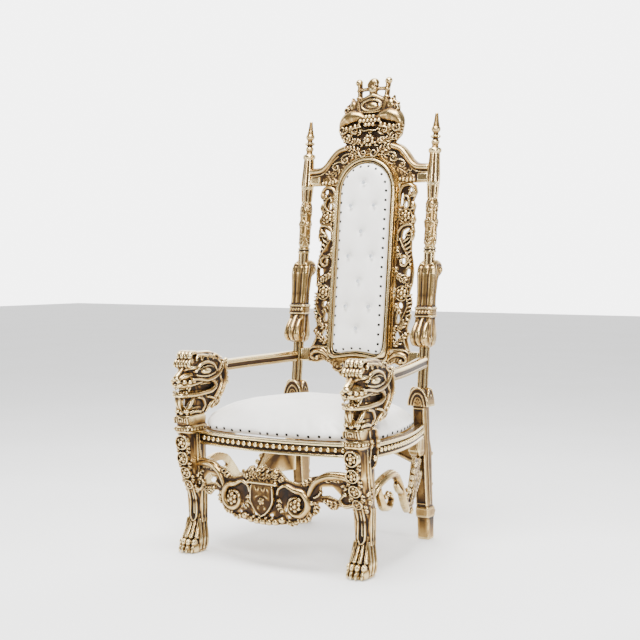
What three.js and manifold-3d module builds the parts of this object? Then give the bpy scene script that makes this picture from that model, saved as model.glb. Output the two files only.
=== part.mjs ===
// A high-backed carved throne: lion-headed front legs with paw feet, a bowed seat frame with bead
// rows, turned rear posts with consoles and finials, a buttoned pad in a moulded arched frame,
// pierced strips beside it, and a crest with scrolls, wings and a crown. Millimetres, +Z up, the
// sitter faces -Y and the feet stand on z = 0.
import * as THREE from "three";
import { mergeVertices } from "three/addons/utils/BufferGeometryUtils.js";
import Module from "manifold-3d";

const wasm = await Module();
wasm.setup();

// ---- Driving dimensions ----------------------------------------------------------------------
const GAP = 0.3; // clearance between pieces that meet

const LEG_X = 357; // centre of a front leg
const REAR_X = 280; // centre of a rear leg
const POST_X = 286; // centre of a turned post
const LEAN = 0.1074; // how far the back leans for each millimetre of height
const BACK_Y = 192.3; // where the plane of the back would meet the floor

const RAIL_LOW = 403; // seat rails, underside
const RAIL_TOP = 453; // seat rails, top edge
const FRONT_Y = -347; // face of the front rail at a leg
const FRONT_BOW = 52; // how far its middle comes forward of that
const BEAD_R = 8;

const SEAT_HEIGHT = 108; // crown of the seat above its rails

const FRAME_INNER = 113; // half width inside the frame
const FRAME_OUTER = 139; // half width outside the frame
const ARCH_Z = 1348; // centre of the frame's arch
const FRAME_FOOT = 706; // inside bottom of the frame, at its corners
const FRAME_FRONT = -30; // front face of the frame, ahead of the plane of the back
const FRAME_REAR = 14;

const CREST_LOW = 1375; // underside of the crest rail
const CREST_TOP = 1449; // its top edge beside a post
const LOWER_TOP = 724; // top edge of the lower rail beside a post

const ARM_LOW = 653; // underside of an arm at the lion's mane
const ARM_RISE = 14; // how much higher it is at the post
const ARM_DEEP = 41;
const ARM_HALF = 15;

const GOLD = { color: 0xb58e55, roughness: 0.36, metalness: 0.85 };
const LEATHER = { color: 0xe9e6e0, roughness: 0.5, metalness: 0 };
const CRYSTAL = { color: 0xdfe3e6, roughness: 0.08, metalness: 0 };

// ---- Forms -----------------------------------------------------------------------------------
const at = (x, y, z) => new THREE.Vector3(x, y, z);
const count = (n, make) => Array.from({ length: n }, (_, i) => make(i));

/** Value of an evenly spaced list at t from 0 to 1. */
function along(list, t) {
  const place = t * (list.length - 1);
  const low = Math.min(Math.floor(place), list.length - 2);
  return list.length === 1 ? list[0] : THREE.MathUtils.lerp(list[low], list[low + 1], place - low);
}

/** A closed geometry as a solid, with its faces outward. */
function solid(geometry) {
  const bare = new THREE.BufferGeometry();
  bare.setAttribute("position", geometry.attributes.position.clone());
  if (geometry.index) bare.setIndex(geometry.index.clone());
  const merged = mergeVertices(bare, 1e-3);
  const vertProperties = new Float32Array(merged.attributes.position.array);
  const corner = (i) => new THREE.Vector3().fromArray(vertProperties, 3 * i);
  const faces = [];
  let volume = 0;
  for (let i = 0; i < merged.index.count; i += 3) {
    const [a, b, c] = merged.index.array.slice(i, i + 3);
    if (a === b || b === c || c === a) continue;
    faces.push([a, b, c]);
    volume += corner(a).dot(corner(b).cross(corner(c)));
  }
  const triVerts = new Uint32Array(faces.flatMap(([a, b, c]) => (volume < 0 ? [a, c, b] : [a, b, c])));
  return new wasm.Manifold(new wasm.Mesh({ numProp: 3, vertProperties, triVerts }));
}

const join = (forms) => forms.map(solid).reduce((whole, form) => whole.add(form));
const cut = (whole, forms) => forms.map(solid).reduce((left, form) => left.subtract(form), whole);

/** Moves each corner of a copy of each form by move(corner). */
function shaped(forms, move) {
  return forms.map((form) => {
    const copy = form.clone();
    const position = copy.attributes.position;
    for (let i = 0; i < position.count; i++) {
      const corner = new THREE.Vector3().fromBufferAttribute(position, i);
      position.setXYZ(i, ...move(corner).toArray());
    }
    return copy;
  });
}

/** A closed outline from its right half, given from one end on the centre line to the other. */
const bothHalves = (half) => [...half, ...half.filter(([x]) => x > 0).reverse().map(([x, z]) => [-x, z])];
const mirrored = (forms) => shaped(forms, (p) => at(-p.x, p.y, p.z));
const bothSides = (forms) => [...forms, ...mirrored(forms)];
/** From the upright plane of the back to its leaning place. */
const leaned = (forms) => shaped(forms, (p) => at(p.x, p.y + BACK_Y + LEAN * p.z, p.z));
/** From a plane that faces -Y to one that faces +X (side 1) or -X (side -1) at x. */
const turned = (forms, x, side) => shaped(forms, (p) => at(x - side * p.y, p.x, p.z));

// Sections, as points in half widths
const round = (sides, turn = 0.5) => count(sides, (k) => {
  const angle = (2 * Math.PI * (k + turn)) / sides;
  return [Math.cos(angle), Math.sin(angle)];
});
const BOX = [[1, -1], [1, 1], [-1, 1], [-1, -1]];
const SIX = [[0.64, -1], [1, -0.1], [0.64, 1], [-0.64, 1], [-1, -0.1], [-0.64, -1]];
const RIDGE = [[-1, 0], [1, 0], [0.45, 1], [-0.45, 1]];
const GABLE = [[-1, 0], [1, 0], [0, 1]];

/** A closed skin over rings, each with a centre and two half-width vectors u and v. */
function loft(rings, section) {
  const spans = rings.length - 1;
  const geometry = new THREE.CylinderGeometry(1, 1, 1, section.length, spans);
  const position = geometry.attributes.position;
  for (let i = 0; i < position.count; i++) {
    const [x, y, z] = [position.getX(i), position.getY(i), position.getZ(i)];
    const { centre, u, v } = rings[Math.round((0.5 - y) * spans)];
    const turn = Math.round((Math.atan2(x, z) / (2 * Math.PI) + 1) * section.length);
    const [a, b] = Math.hypot(x, z) > 0.5 ? section[turn % section.length] : [0, 0];
    position.setXYZ(i, ...centre.clone().addScaledVector(u, a).addScaledVector(v, b).toArray());
  }
  return geometry;
}

/** A closed ring of sections: place(t) gives each one's centre, u and v for t from 0 to 1. */
function hoop(place, steps, section) {
  const geometry = new THREE.TorusGeometry(1, 0.5, section.length, steps);
  const { position, uv } = geometry.attributes;
  for (let i = 0; i < position.count; i++) {
    const { centre, u, v } = place((Math.round(uv.getX(i) * steps) % steps) / steps);
    const [a, b] = section[Math.round(uv.getY(i) * section.length) % section.length];
    position.setXYZ(i, ...centre.clone().addScaledVector(u, a).addScaledVector(v, b).toArray());
  }
  return geometry;
}

/** Level sections: each level is [z, x, front y, back y, half width]. */
function column(levels, section, grow = 0) {
  return loft(levels.map(([z, x, front, back, half]) => ({
    centre: at(x, (front + back) / 2, z),
    u: at(half + grow, 0, 0),
    v: at(0, Math.abs(back - front) / 2 + grow, 0),
  })), section);
}

/** A flat-backed carved band on the plane y = back, facing -Y, through points [x, z]. */
function strand(path, widths, { depth = 18, back = 9, steps = path.length, section = GABLE } = {}) {
  const curve = new THREE.CatmullRomCurve3(path.map(([x, z]) => at(x, back, z)), false, "centripetal");
  const widest = Math.max(...widths);
  return loft(count(steps + 1, (i) => {
    const t = i / steps;
    const heading = curve.getTangent(t);
    const half = along(widths, t);
    const rise = half > 0 ? depth * (0.45 + (0.55 * half) / widest) : 0;
    return {
      centre: curve.getPoint(t),
      u: at(heading.z, 0, -heading.x).multiplyScalar(half),
      v: at(0, -rise, 0),
    };
  }), section);
}

/** A leaf from its foot to its pointed tip. */
const leaf = (path, half, options = {}) =>
  strand(path, [0.4 * half, half, 0], { steps: 2, ...options });

/** Points of a coil that winds in from radius r to a third of it. Angles in degrees. */
const coil = (x, z, r, from, sweep, steps = 6) => count(steps + 1, (i) => {
  const angle = THREE.MathUtils.degToRad(from + (sweep * i) / steps);
  const reach = r * (1 - (0.62 * i) / steps);
  return [x + reach * Math.cos(angle), z + reach * Math.sin(angle)];
});

/** A flower that faces -Y, rising to a point in its middle. */
function flower(x, z, radius, { back = 9, depth = 20, petals = 4 } = {}) {
  const star = count(2 * petals, (k) => {
    const reach = k % 2 ? 0.7 : 1;
    return [reach * Math.cos((Math.PI * k) / petals), reach * Math.sin((Math.PI * k) / petals)];
  });
  const ring = (y, r) => ({ centre: at(x, back - y, z), u: at(r, 0, 0), v: at(0, 0, r) });
  return [loft([ring(0, radius), ring(depth, 0)], star)];
}

const ball = (x, y, z, r, [sx, sy, sz] = [1, 1, 1], sides = 6, rows = 3) =>
  new THREE.SphereGeometry(r, sides, rows).rotateX(Math.PI / 2).scale(sx, sy, sz).translate(x, y, z);
const berry = (x, y, z, r) => new THREE.OctahedronGeometry(r).translate(x, y, z);
const block = (x0, x1, y0, y1, z0, z1) => new THREE.BoxGeometry(x1 - x0, y1 - y0, z1 - z0)
  .translate((x0 + x1) / 2, (y0 + y1) / 2, (z0 + z1) / 2);

/** A plate on the XZ plane from an outline of [x, z], between y = front and y = rear. */
function plate(outline, front, rear, holes = []) {
  const flat = (line) => line.map(([x, z]) => new THREE.Vector2(x, z));
  const edge = flat(outline);
  const shape = new THREE.Shape(THREE.ShapeUtils.isClockWise(edge) ? edge.reverse() : edge);
  shape.holes = holes.map((hole) => new THREE.Path(flat(hole)));
  const geometry = new THREE.ExtrudeGeometry(shape, { depth: rear - front, bevelEnabled: false });
  return geometry.rotateX(Math.PI / 2).translate(0, rear, 0);
}

const throne = new THREE.Group();
throne.name = "throne";

/** The faces of a solid as a geometry. */
function geometryOf(whole) {
  const { vertProperties, triVerts } = whole.getMesh();
  const geometry = new THREE.BufferGeometry();
  geometry.setAttribute("position", new THREE.BufferAttribute(new Float32Array(vertProperties), 3));
  geometry.setIndex(new THREE.BufferAttribute(new Uint32Array(triVerts), 1));
  return geometry;
}

/** Adds a solid to the throne as a named mesh. */
function piece(name, whole, finish) {
  const material = new THREE.MeshStandardMaterial({ ...finish, flatShading: true });
  const mesh = new THREE.Mesh(geometryOf(whole), material);
  mesh.name = name;
  throne.add(mesh);
}

/** The same piece on both sides: forms are given for the right-hand one, at +X. */
function pair(name, forms, cutters = []) {
  piece(`${name}_right`, cut(join(forms), cutters), GOLD);
  piece(`${name}_left`, cut(join(mirrored(forms)), mirrored(cutters)), GOLD);
}

// ---- Front legs: paw, carved knee, cuff and lion head ------------------------------------------
const LEG_LEVELS = [ // z, front, back, half width
  [0, -352, -290, 36], [34, -361, -284, 39], [78, -345, -284, 34], [130, -331, -279, 30],
  [190, -330, -283, 32], [262, -360, -287, 36], [345, -394, -286, 37], [440, -402, -285, 35],
  [450, -410, -281, 41], [468, -410, -282, 41], [475, -404, -290, 35], [508, -414, -292, 38],
  [524, -394, -296, 31], [575, -382, -196, 36], [612, -380, -172, 37], [695, -388, -168, 36],
  [733, -372, -276, 29],
].map(([z, front, back, half]) => [z, LEG_X, front, back, half]);
const legColumn = (grow = 0) => column(LEG_LEVELS, SIX, grow);

/** Muzzle, jaw, beard, locks and eyes of a lion that looks along -Y. */
function lionHead() {
  const muzzle = loft([[-362, 31, 606, 690], [-398, 30, 612, 678], [-424, 24, 616, 660],
    [-444, 14, 624, 652]].map(([y, half, low, high]) => ({
    centre: at(LEG_X, y, (low + high) / 2), u: at(half, 0, 0), v: at(0, 0, (high - low) / 2),
  })), SIX);
  const jaw = column([[597, LEG_X, -430, -360, 22], [578, LEG_X, -430, -360, 20],
    [534, LEG_X, -402, -360, 8]], BOX);
  const forelocks = count(3, (i) => ball(LEG_X + 20 * (i - 1), -392, 697, 12, [0.9, 1.8, 1.1], 5, 2));
  const topLocks = count(2, (i) => ball(LEG_X + 26 * (i - 0.5), -372, 727, 13, [0.9, 1.7, 0.9], 5, 2));
  const onFace = (side) => [
    ball(LEG_X + side * 35, -318, 668, 1, [9, 46, 16], 5, 2),
    ...turned([strand([[-340, 622], [-280, 612], [-232, 574], [-262, 524]], [5, 13, 13, 5],
      { back: 6, depth: 16, steps: 4 })], LEG_X + side * 35, side),
  ];
  return [muzzle, jaw, ...forelocks, ...topLocks, ...onFace(1), ...onFace(-1)];
}

function frontLeg() {
  const toes = count(4, (i) => ball(LEG_X + 19 * (i - 1.5), -360, 22, 1, [11.5, 30, 21.9], 5));
  const rosettes = [[-403, 410, 27], [-399, 353, 26], [-384, 299, 24], [-358, 250, 20]]
    .flatMap(([y, z, r]) => flower(LEG_X, z, r, { back: y + 14, depth: 24 }));
  const ear = turned([strand([[-338, 500], [-308, 494], [-301, 430], [-320, 374]], [5, 9, 9, 5],
    { back: 5, depth: 14 })], LEG_X + 34, 1);
  return [legColumn(), ...toes, ...rosettes, ...ear, ...lionHead()];
}

pair("front_leg", frontLeg());

// ---- Rear posts: leg, arched block, console, turned post ---------------------------------------
const REAR_LEVELS = [ // z, front, back, half width
  [0, 276, 325, 25], [86, 270, 324, 26], [92, 266, 327, 27], [122, 264, 325, 27], [128, 264, 316, 25],
  [290, 247, 307, 25], [345, 243, 303, 26], [392, 240, 286, 26], [522, 232, 278, 26],
].map(([z, front, back, half]) => [z, REAR_X, front, back, half]);
const rearColumn = (grow = 0) => column(REAR_LEVELS, BOX, grow);

/** A turned length of post on the leaning axis: levels are [z, radius]. */
const turning = (levels, sides, grow = 0) => leaned([loft(levels.map(([z, r]) => ({
  centre: at(POST_X, 0, z), u: at(r + grow, 0, 0), v: at(0, r + grow, 0),
})), round(sides))]);
const LOWER_SHAFT = [[585, 22], [748, 21]];
const UPPER_SHAFT = [[1058, 22], [1146, 22], [1172, 27], [1292, 26], [1314, 21], [1370, 25], [1488, 20]];
const FINIAL = [[1486, 20], [1494, 25], [1504, 24], [1514, 12], [1529, 17], [1541, 11], [1550, 20],
  [1561, 10], [1579, 18], [1594, 11], [1642, 6]];

function rearPost() {
  const arch = (half, high) => count(6, (k) => {
    const angle = (Math.PI * k) / 5;
    return [half * Math.cos(angle), high * Math.sin(angle)];
  });
  const lunette = [
    plate(arch(45, 74).map(([x, z]) => [POST_X - 3 + x, 520 + z]), 220, 284),
    ...turned([plate(arch(30, 72).map(([y, z]) => [252 + y, 520 + z]), -38, 38)], POST_X - 3, 1),
  ];
  const ribbed = [[-1, -0.75], [-0.45, -1], [0, -0.82], [0.45, -1], [1, -0.75], [0.7, 1], [-0.7, 1]];
  const console = leaned([column([[742, -20, 16, 26], [762, -50, 28, 38], [790, -55, 30, 40],
    [854, -32, 20, 35], [866, -39, 22, 39], [892, -38, 20, 39], [902, -31, 17, 35],
    [1000, -32, 18, 38], [1024, -31, 36, 39], [1046, -28, 38, 38], [1069, -6, 16, 26],
  ].map(([z, front, back, half]) => [z, POST_X, front, back, half]), ribbed)]);
  const bracket = block(REAR_X - 24, REAR_X + 24, 190, 246, 330, RAIL_LOW - GAP);
  return [rearColumn(), ...lunette, ...turning(LOWER_SHAFT, 8), ...console,
    ...turning(UPPER_SHAFT, 8), ...turning(FINIAL, 6), bracket];
}

pair("rear_post", rearPost());

// ---- Seat frame --------------------------------------------------------------------------------
/** Moulded rail section, [outward, up] from its middle, with a channel for the bead row. */
const RAIL_SECTION = [[-14, -25], [13, -23], [9, -12], [9, 12], [14, 16], [12, 25], [-14, 25]];
const RAIL_MID = (RAIL_LOW + RAIL_TOP) / 2;
const frontBow = (x) => FRONT_Y - FRONT_BOW * (1 - (x / (LEG_X - 33)) ** 2);
const sideLine = new THREE.CubicBezierCurve3(at(392, -287, 0), at(412, -110, 0),
  at(370, 50, 0), at(304, 242, 0));

/** A rail whose outer face follows line(t), a plan point, with beads in its channel. */
function seatRail(line, steps, beads) {
  const place = (t, inset) => {
    const heading = line(Math.min(t + 0.01, 1)).sub(line(Math.max(t - 0.01, 0))).normalize();
    const outward = at(heading.y, -heading.x, 0);
    return { centre: line(t).setZ(RAIL_MID).addScaledVector(outward, -inset), u: outward, v: at(0, 0, 1) };
  };
  const row = count(beads, (i) => {
    const { centre } = place((i + 0.5) / beads, 8);
    return new THREE.OctahedronGeometry(BEAD_R).scale(1.2, 1.2, 1.2).translate(centre.x, centre.y, centre.z);
  });
  return [loft(count(steps + 1, (i) => place(i / steps, 15)), RAIL_SECTION), ...row];
}

const frontLine = (t) => at((2 * t - 1) * (LEG_X - 20), frontBow((2 * t - 1) * (LEG_X - 20)), 0);
const legs = [legColumn(GAP)];
piece("seat_rail_front", cut(join(seatRail(frontLine, 7, 24)), bothSides(legs)), GOLD);
pair("seat_rail", seatRail((t) => sideLine.getPoint(t), 5, 18), [...legs, rearColumn(GAP)]);
const REAR_INSIDE = REAR_X - 26 - GAP; // half the clear width between the rear legs
piece("seat_rail_back", join([block(-REAR_INSIDE, REAR_INSIDE, 244, 270, RAIL_LOW, RAIL_TOP)]), GOLD);

// ---- Seat cushion: a domed pad inside the rails --------------------------------------------------
function seatCushion() {
  const plan = new THREE.CatmullRomCurve3([
    [0, -386], [160, -374], [300, -344], [318, -316], [330, -272], [372, -258], [382, -160], [372, -40],
    [340, 70], [302, 180], [262, 222], [120, 232],
  ].flatMap(([x, y], i) => (i ? [[x, y], [-x, y]] : [[x, y]])).sort(([ax, ay], [bx, by]) =>
    Math.atan2(ay + 60, ax) - Math.atan2(by + 60, bx)).map(([x, y]) => at(x, y, 0)), true, "centripetal");
  const outline = plan.getPoints(22).slice(0, 22).map(({ x, y }) => [x, y + 60]);
  const level = (z, scale) => ({ centre: at(0, -60, z), u: at(scale, 0, 0), v: at(0, scale, 0) });
  const base = RAIL_TOP + GAP;
  return [loft([level(base, 0.985), level(base + 0.42 * SEAT_HEIGHT, 0.965),
    level(base + 0.8 * SEAT_HEIGHT, 0.76), level(base + SEAT_HEIGHT, 0.36)], outline)];
}

piece("seat_cushion", join(seatCushion()), LEATHER);

// ---- Aprons ------------------------------------------------------------------------------------
const mirroredHoles = (holes) => [...holes, ...holes.map((hole) => hole.map(([x, z]) => [-x, z]))];

/** Pierced and carved front apron, drawn flat and then bowed like the rail above it. */
function frontApron() {
  const outline = bothHalves([[0, 362], [18, 344], [58, 356], [98, 316], [140, 308], [188, 334],
    [250, 350], [336, 352], [336, 238], [304, 232], [272, 242], [258, 222], [232, 246], [206, 246],
    [188, 192], [132, 172], [92, 158], [46, 152], [0, 148]]);
  const holes = mirroredHoles([
    [[222, 300], [262, 304], [298, 266], [284, 256], [244, 274], [218, 268]],
    [[82, 204], [98, 236], [92, 202]],
    [[80, 292], [98, 302], [96, 290]],
    [[16, 186], [40, 196], [40, 178]],
    [[88, 186], [108, 194], [108, 180]],
  ]);
  const shieldRing = (y, s) => ({ centre: at(0, y, 246), u: at(s, 0, 0), v: at(0, 0, s) });
  const shieldOutline = [[46, 62], [48, 18], [32, -34], [0, -66], [-32, -34], [-48, 18], [-46, 62]];
  const shield = [
    loft([shieldRing(0, 1), shieldRing(-18, 0.95)], shieldOutline),
    block(-54, 54, -22, 0, 292, 308),
    leaf([[0, 300], [0, 334], [0, 368]], 24, { back: 2, depth: 24 }),
  ];
  const beads = count(7, (i) => berry(26 * (i - 3), -6, 163 + 0.16 * (i - 3) ** 4, 15));
  const raised = { back: 2, depth: 20 };
  const half = [
    leaf([[12, 300], [42, 332], [66, 352]], 18, raised),
    strand([[62, 268], [86, 290], ...coil(134, 232, 48, 110, -300, 4)], [6, 12, 15, 15, 13, 9],
      { ...raised, steps: 5 }),
    ...flower(134, 232, 27, raised),
    strand([[336, 334], [270, 334], [206, 312], [178, 258]], [12, 16, 18, 10], raised),
    leaf([[320, 244], [262, 238], [196, 262]], 20, raised),
    leaf([[204, 300], [156, 300], [100, 262]], 20, raised),
  ];
  const flat = join([plate(outline, -6, 9, holes), ...shield, ...beads, ...bothSides(half)]);
  return shaped([geometryOf(flat)], (p) => at(p.x, p.y + frontBow(p.x) + 4, p.z));
}

piece("front_apron", cut(join(frontApron()), bothSides(legs)), GOLD);

function sideApron() {
  const forms = [
    strand([[-296, 262], [-240, 304], [-150, 330], [-88, 286], [-40, 212], [26, 164]],
      [15, 16, 16, 15, 16, 13], { steps: 8 }),
    strand([[-214, 312], [-224, 262], [-190, 214], [-158, 236]], [12, 15, 14, 9]),
    strand([[-96, 280], [-76, 252], [-16, 234]], [9, 11, 10], { steps: 2 }),
    leaf([[0, 168], [76, 206], [114, 340]], 40, { steps: 4 }),
    leaf([[70, 226], [150, 266], [268, 272]], 46, { steps: 4 }),
  ];
  // the forms are drawn flat, with their x along the side, and wrapped to the rail's line
  const plan = sideLine.getPoints(60);
  return shaped(forms, (p) => {
    const next = plan.findIndex(({ y }) => y > p.x);
    const [a, b] = [plan[Math.max(next - 1, 0)], plan[next < 0 ? 60 : Math.max(next, 1)]];
    const x = next < 0 ? b.x : THREE.MathUtils.mapLinear(p.x, a.y, b.y, a.x, b.x);
    return at(x - 20 - p.y, p.x, p.z);
  });
}

pair("side_apron", sideApron(), [...legs, column(REAR_LEVELS, BOX, GAP),
  block(REAR_X - 30, REAR_X + 30, 189.7, 247, 330 - GAP, RAIL_LOW)]);

const rearOutline = bothHalves([[REAR_INSIDE, RAIL_LOW - GAP], [REAR_INSIDE, 290], [190, 316],
  [150, 330], [110, 322], [60, 346], [0, 352]]);
piece("rear_apron", join([plate(rearOutline, 246, 264)]), GOLD);

// ---- Arms ----------------------------------------------------------------------------------------
const armLine = new THREE.CubicBezierCurve3(at(370, -180, 0), at(364, -30, 0),
  at(320, 110, 0), at(288, 268, 0));
const ARM_SECTION = [[-1, -1], [1, -1], [1, 0.05], [0.75, 1], [-0.75, 1], [-1, 0.05]];

function arm() {
  return [loft(count(7, (i) => {
    const heading = armLine.getTangent(i / 6);
    return {
      centre: armLine.getPoint(i / 6).setZ(ARM_LOW + ARM_DEEP / 2 + (ARM_RISE * i) / 6),
      u: at(heading.y, -heading.x, 0).multiplyScalar(ARM_HALF),
      v: at(0, 0, ARM_DEEP / 2),
    };
  }), ARM_SECTION)];
}

pair("arm", arm(), [legColumn(GAP), ...turning(LOWER_SHAFT, 8, GAP)]);

// ---- Back frame, board, cushion and buttons --------------------------------------------------------
/** Outline of the arched opening, grown outward by d: half-round top and a foot with a raised middle. */
function archOutline(d) {
  const half = FRAME_INNER + d;
  const arch = count(11, (k) => {
    const angle = (Math.PI * k) / 10;
    return [half * Math.cos(angle), ARCH_Z + half * Math.sin(angle)];
  });
  const foot = [[-1, 22], [-0.93, 4], [-0.78, 0], [-0.4, 7], [0, 12], [0.4, 7], [0.78, 0],
    [0.93, 4], [1, 22]];
  return [...arch, ...foot.map(([x, z]) => [x * half, FRAME_FOOT + z - d])];
}

/** Place on the frame's middle line, for a hoop: u spans its width and v its depth. */
const [frameInside, frameOutside] = [archOutline(0), archOutline(FRAME_OUTER - FRAME_INNER)];
function framePlace(t) {
  const k = Math.round(t * frameInside.length);
  const [inner, outer] = [frameInside[k], frameOutside[k]].map(([x, z]) => at(x, 0, z));
  return {
    centre: inner.clone().lerp(outer, 0.5).setY((FRAME_REAR + FRAME_FRONT) / 2),
    u: outer.sub(inner).divideScalar(2),
    v: at(0, (FRAME_REAR - FRAME_FRONT) / 2, 0),
  };
}

const FRAME_SECTION = [[-1, 1], [-1, -0.7], [0, -1], [1, -0.6], [1, 1]];
piece("back_frame", join(leaned([hoop(framePlace, frameInside.length, FRAME_SECTION)])), GOLD);
piece("back_board", join(leaned([plate(archOutline(-GAP), 4, FRAME_REAR - 2)])), GOLD);

const PAD_FRONT = -40;
function backCushion() {
  const middle = (ARCH_Z + FRAME_FOOT) / 2;
  const halfHeight = ARCH_Z + FRAME_INNER - middle;
  const ring = (y, inset) => ({
    centre: at(0, y, middle),
    u: at(1 - inset / FRAME_INNER, 0, 0),
    v: at(0, 0, 1 - inset / halfHeight),
  });
  return [loft([ring(4 - GAP, GAP), ring(-24, GAP), ring(-36, 14), ring(PAD_FRONT, 34)],
    archOutline(0).map(([x, z]) => [x, z - middle]))];
}
piece("back_cushion", join(leaned(backCushion())), LEATHER);

const BUTTONS = [[0, 1381], [-52, 1290], [52, 1290], [0, 1188], [-52, 1091], [52, 1091], [0, 993],
  [-52, 893], [52, 893], [0, 808]];
BUTTONS.forEach(([x, z], i) => {
  const ring = (y, r) => ({ centre: at(x, y, z), u: at(r, 0, 0), v: at(0, 0, r) });
  const [foot, face] = [PAD_FRONT - GAP, PAD_FRONT - GAP - 6];
  piece(`tufting_button_${i + 1}`, join(leaned([loft([ring(foot, 8), ring(face, 5)], round(5))])), CRYSTAL);
});

// ---- Fretwork strips --------------------------------------------------------------------------------
/** Pierced strip between the frame and a post, with its scrolls, flowers and leaves raised on it. */
function fretwork() {
  const edge = FRAME_OUTER + 3;
  const top = CREST_LOW - 1;
  const outline = [[edge, LOWER_TOP + 6], [222, LOWER_TOP + 6], [207, 772], [223, 790], [204, 812],
    [222, 862], [209, 876], [223, 910], [207, 948], [220, 982], [223, 1030], [207, 1108],
    [205, 1150], [220, 1188], [207, 1202], [222, 1232], [209, 1258], [218, 1288], [204, 1304],
    [223, 1340], [211, 1368], [182, top], [edge, top], [edge, 975],
    [149, 950], [edge, 926]];
  const holes = [
    [[185, 1350], [194, 1360], [201, 1348], [192, 1340]],
    [[149, 1340], [162, 1350], [156, 1282], [148, 1286]],
    [[166, 1292], [173, 1304], [178, 1290], [171, 1276]],
    [[161, 1158], [167, 1188], [196, 1202], [184, 1180], [173, 1156]],
    [[163, 1060], [169, 1086], [184, 1088], [178, 1054]],
    [[194, 1056], [207, 1052], [204, 1010], [184, 1024]],
    [[158, 900], [171, 912], [182, 902], [167, 884]],
    [[158, 846], [167, 868], [171, 838], [162, 828]],
    [[155, 784], [162, 802], [180, 768], [158, 758]],
  ];
  const raised = { back: -8, depth: 16 };
  return leaned([
    plate(outline, -12, 3, holes),
    strand([[151, 1318], [162, 1354], [202, 1356], [207, 1320]], [6, 9, 10, 8], { ...raised, steps: 4 }),
    ...flower(178, 1247, 30, raised),
    leaf([[155, 1162], [200, 1096], [205, 990]], 21, { ...raised, steps: 3 }),
    leaf([[162, 1116], [156, 1066], [184, 1040]], 12, raised),
    ...flower(178, 946, 30, raised),
    leaf([[187, 936], [209, 900], [185, 838]], 19, raised),
    leaf([[153, 806], [187, 810], [216, 862]], 16, raised),
    leaf([[156, 746], [189, 758], [200, 816]], 14, raised),
  ]);
}

pair("fretwork", fretwork());

// ---- Lower back rail ---------------------------------------------------------------------------------
function lowerRail() {
  const frameFoot = archOutline(FRAME_OUTER - FRAME_INNER + GAP).slice(11).filter(([x]) => x >= 0);
  const half = [...frameFoot.sort(([ax], [bx]) => ax - bx), [157, 716], [172, 728], [204, 728],
    [226, LOWER_TOP], [274, 722], [274, 670], [222, 668], [192, 664], [150, 678], [120, 655], [90, 630],
    [64, 617], [0, 610]];
  const hole = [[-1, 0], [0, -0.7], [1, 0], [0, 0.7]].map(([x, z]) => [64 + 14 * x, 658 + 14 * z]);
  const face = { back: -8, depth: 15 };
  const carving = [
    ...bothSides([leaf([[250, 706], [190, 706], [92, 648]], 17, { ...face, steps: 4 })]),
    leaf([[0, 618], [0, 640], [0, 678]], 26, face),
  ];
  const body = plate(bothHalves(half), -14, 14, mirroredHoles([hole]));
  return leaned([body, ...carving]);
}

piece("lower_back_rail", cut(join(lowerRail()), bothSides(turning(LOWER_SHAFT, 8, GAP))), GOLD);

// ---- Crest rail with its crown -----------------------------------------------------------------------
function crestRail() {
  const reach = (FRAME_OUTER + GAP) / Math.cos(0.14);
  const arch = count(6, (k) => {
    const angle = Math.PI * (0.06 + 0.088 * k);
    return [k === 5 ? 0 : reach * Math.cos(angle), ARCH_Z + reach * Math.sin(angle)];
  });
  const topLine = [[276, CREST_TOP], [212, 1452], [190, 1470], [165, 1503], [140, 1528], [104, 1540]];
  const outline = bothHalves([[0, 1668], [40, 1668], [60, 1706], [98, 1726], [102, 1708], [120, 1694],
    [112, 1670], [138, 1652], [149, 1608], [142, 1562], [120, 1546], ...topLine.slice(0, -1).reverse(),
    [276, CREST_LOW], ...arch]);
  const roll = strand(topLine.map(([x, z]) => [x, z - 14]), [15],
    { back: -12, depth: 16, steps: 6, section: RIDGE });
  const ornament = [
    // wing, and the leaves and scroll below it
    strand([[22, 1648], [90, 1654], [138, 1620], [120, 1590]], [10, 26, 22, 9],
      { back: -15, depth: 22, steps: 3 }),
    leaf([[26, 1566], [84, 1592], [150, 1572]], 24, { back: -15, depth: 18 }),
    leaf([[40, 1494], [80, 1524], [134, 1558]], 21, { back: -12, depth: 22 }),
    leaf([[62, 1520], [36, 1506], [14, 1532]], 12, { back: -14, depth: 18 }),
    // leaf beside the crown, and the crown's prong with its ball
    leaf([[66, 1668], [88, 1690], [112, 1712]], 22, { back: -15, depth: 14 }),
    column([[1700, 56, -14, 10, 10], [1784, 64, -10, 6, 7]], round(4)),
    ball(66, -2, 1787, 13, [1, 1, 1], 5),
  ];
  const middle = [
    ...flower(0, 1548, 27, { back: -15, depth: 20 }),
    ...count(3, (i) => berry(18 * (i - 1), -24, i === 1 ? 1608 : 1632, 17)),
    // crown: rim, boss, ridge, bar, orb and cap
    hoop((t) => {
      const [cx, cz] = [Math.cos(2 * Math.PI * t), Math.sin(2 * Math.PI * t)];
      return { centre: at(46 * cx, 4, 1692 + 21 * cz), u: at(9 * cx, 0, 9 * cz), v: at(0, -24, 0) };
    }, 8, GABLE),
    ball(0, -8, 1688, 1, [27, 18, 20], 5),
    plate([[-62, 1710], [62, 1710], [0, 1738]], -16, 10),
    block(-62, 62, -10, 4, 1749, 1762),
    ball(0, -4, 1757, 1, [23, 20, 25], 5),
    ball(0, -4, 1780, 1, [24, 19, 20], 5),
  ];
  return leaned([plate(outline, -18, 16), ...bothSides([roll, ...ornament]), ...middle]);
}

piece("crest_rail", cut(join(crestRail()), bothSides(turning(UPPER_SHAFT, 8, GAP))), GOLD);

// ---- Origin under the middle of the throne, on the floor -----------------------------------------------
const reach = new THREE.Box3().setFromObject(throne);
throne.position.set(0, -(reach.min.y + reach.max.y) / 2, -reach.min.z);

export default throne;
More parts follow.
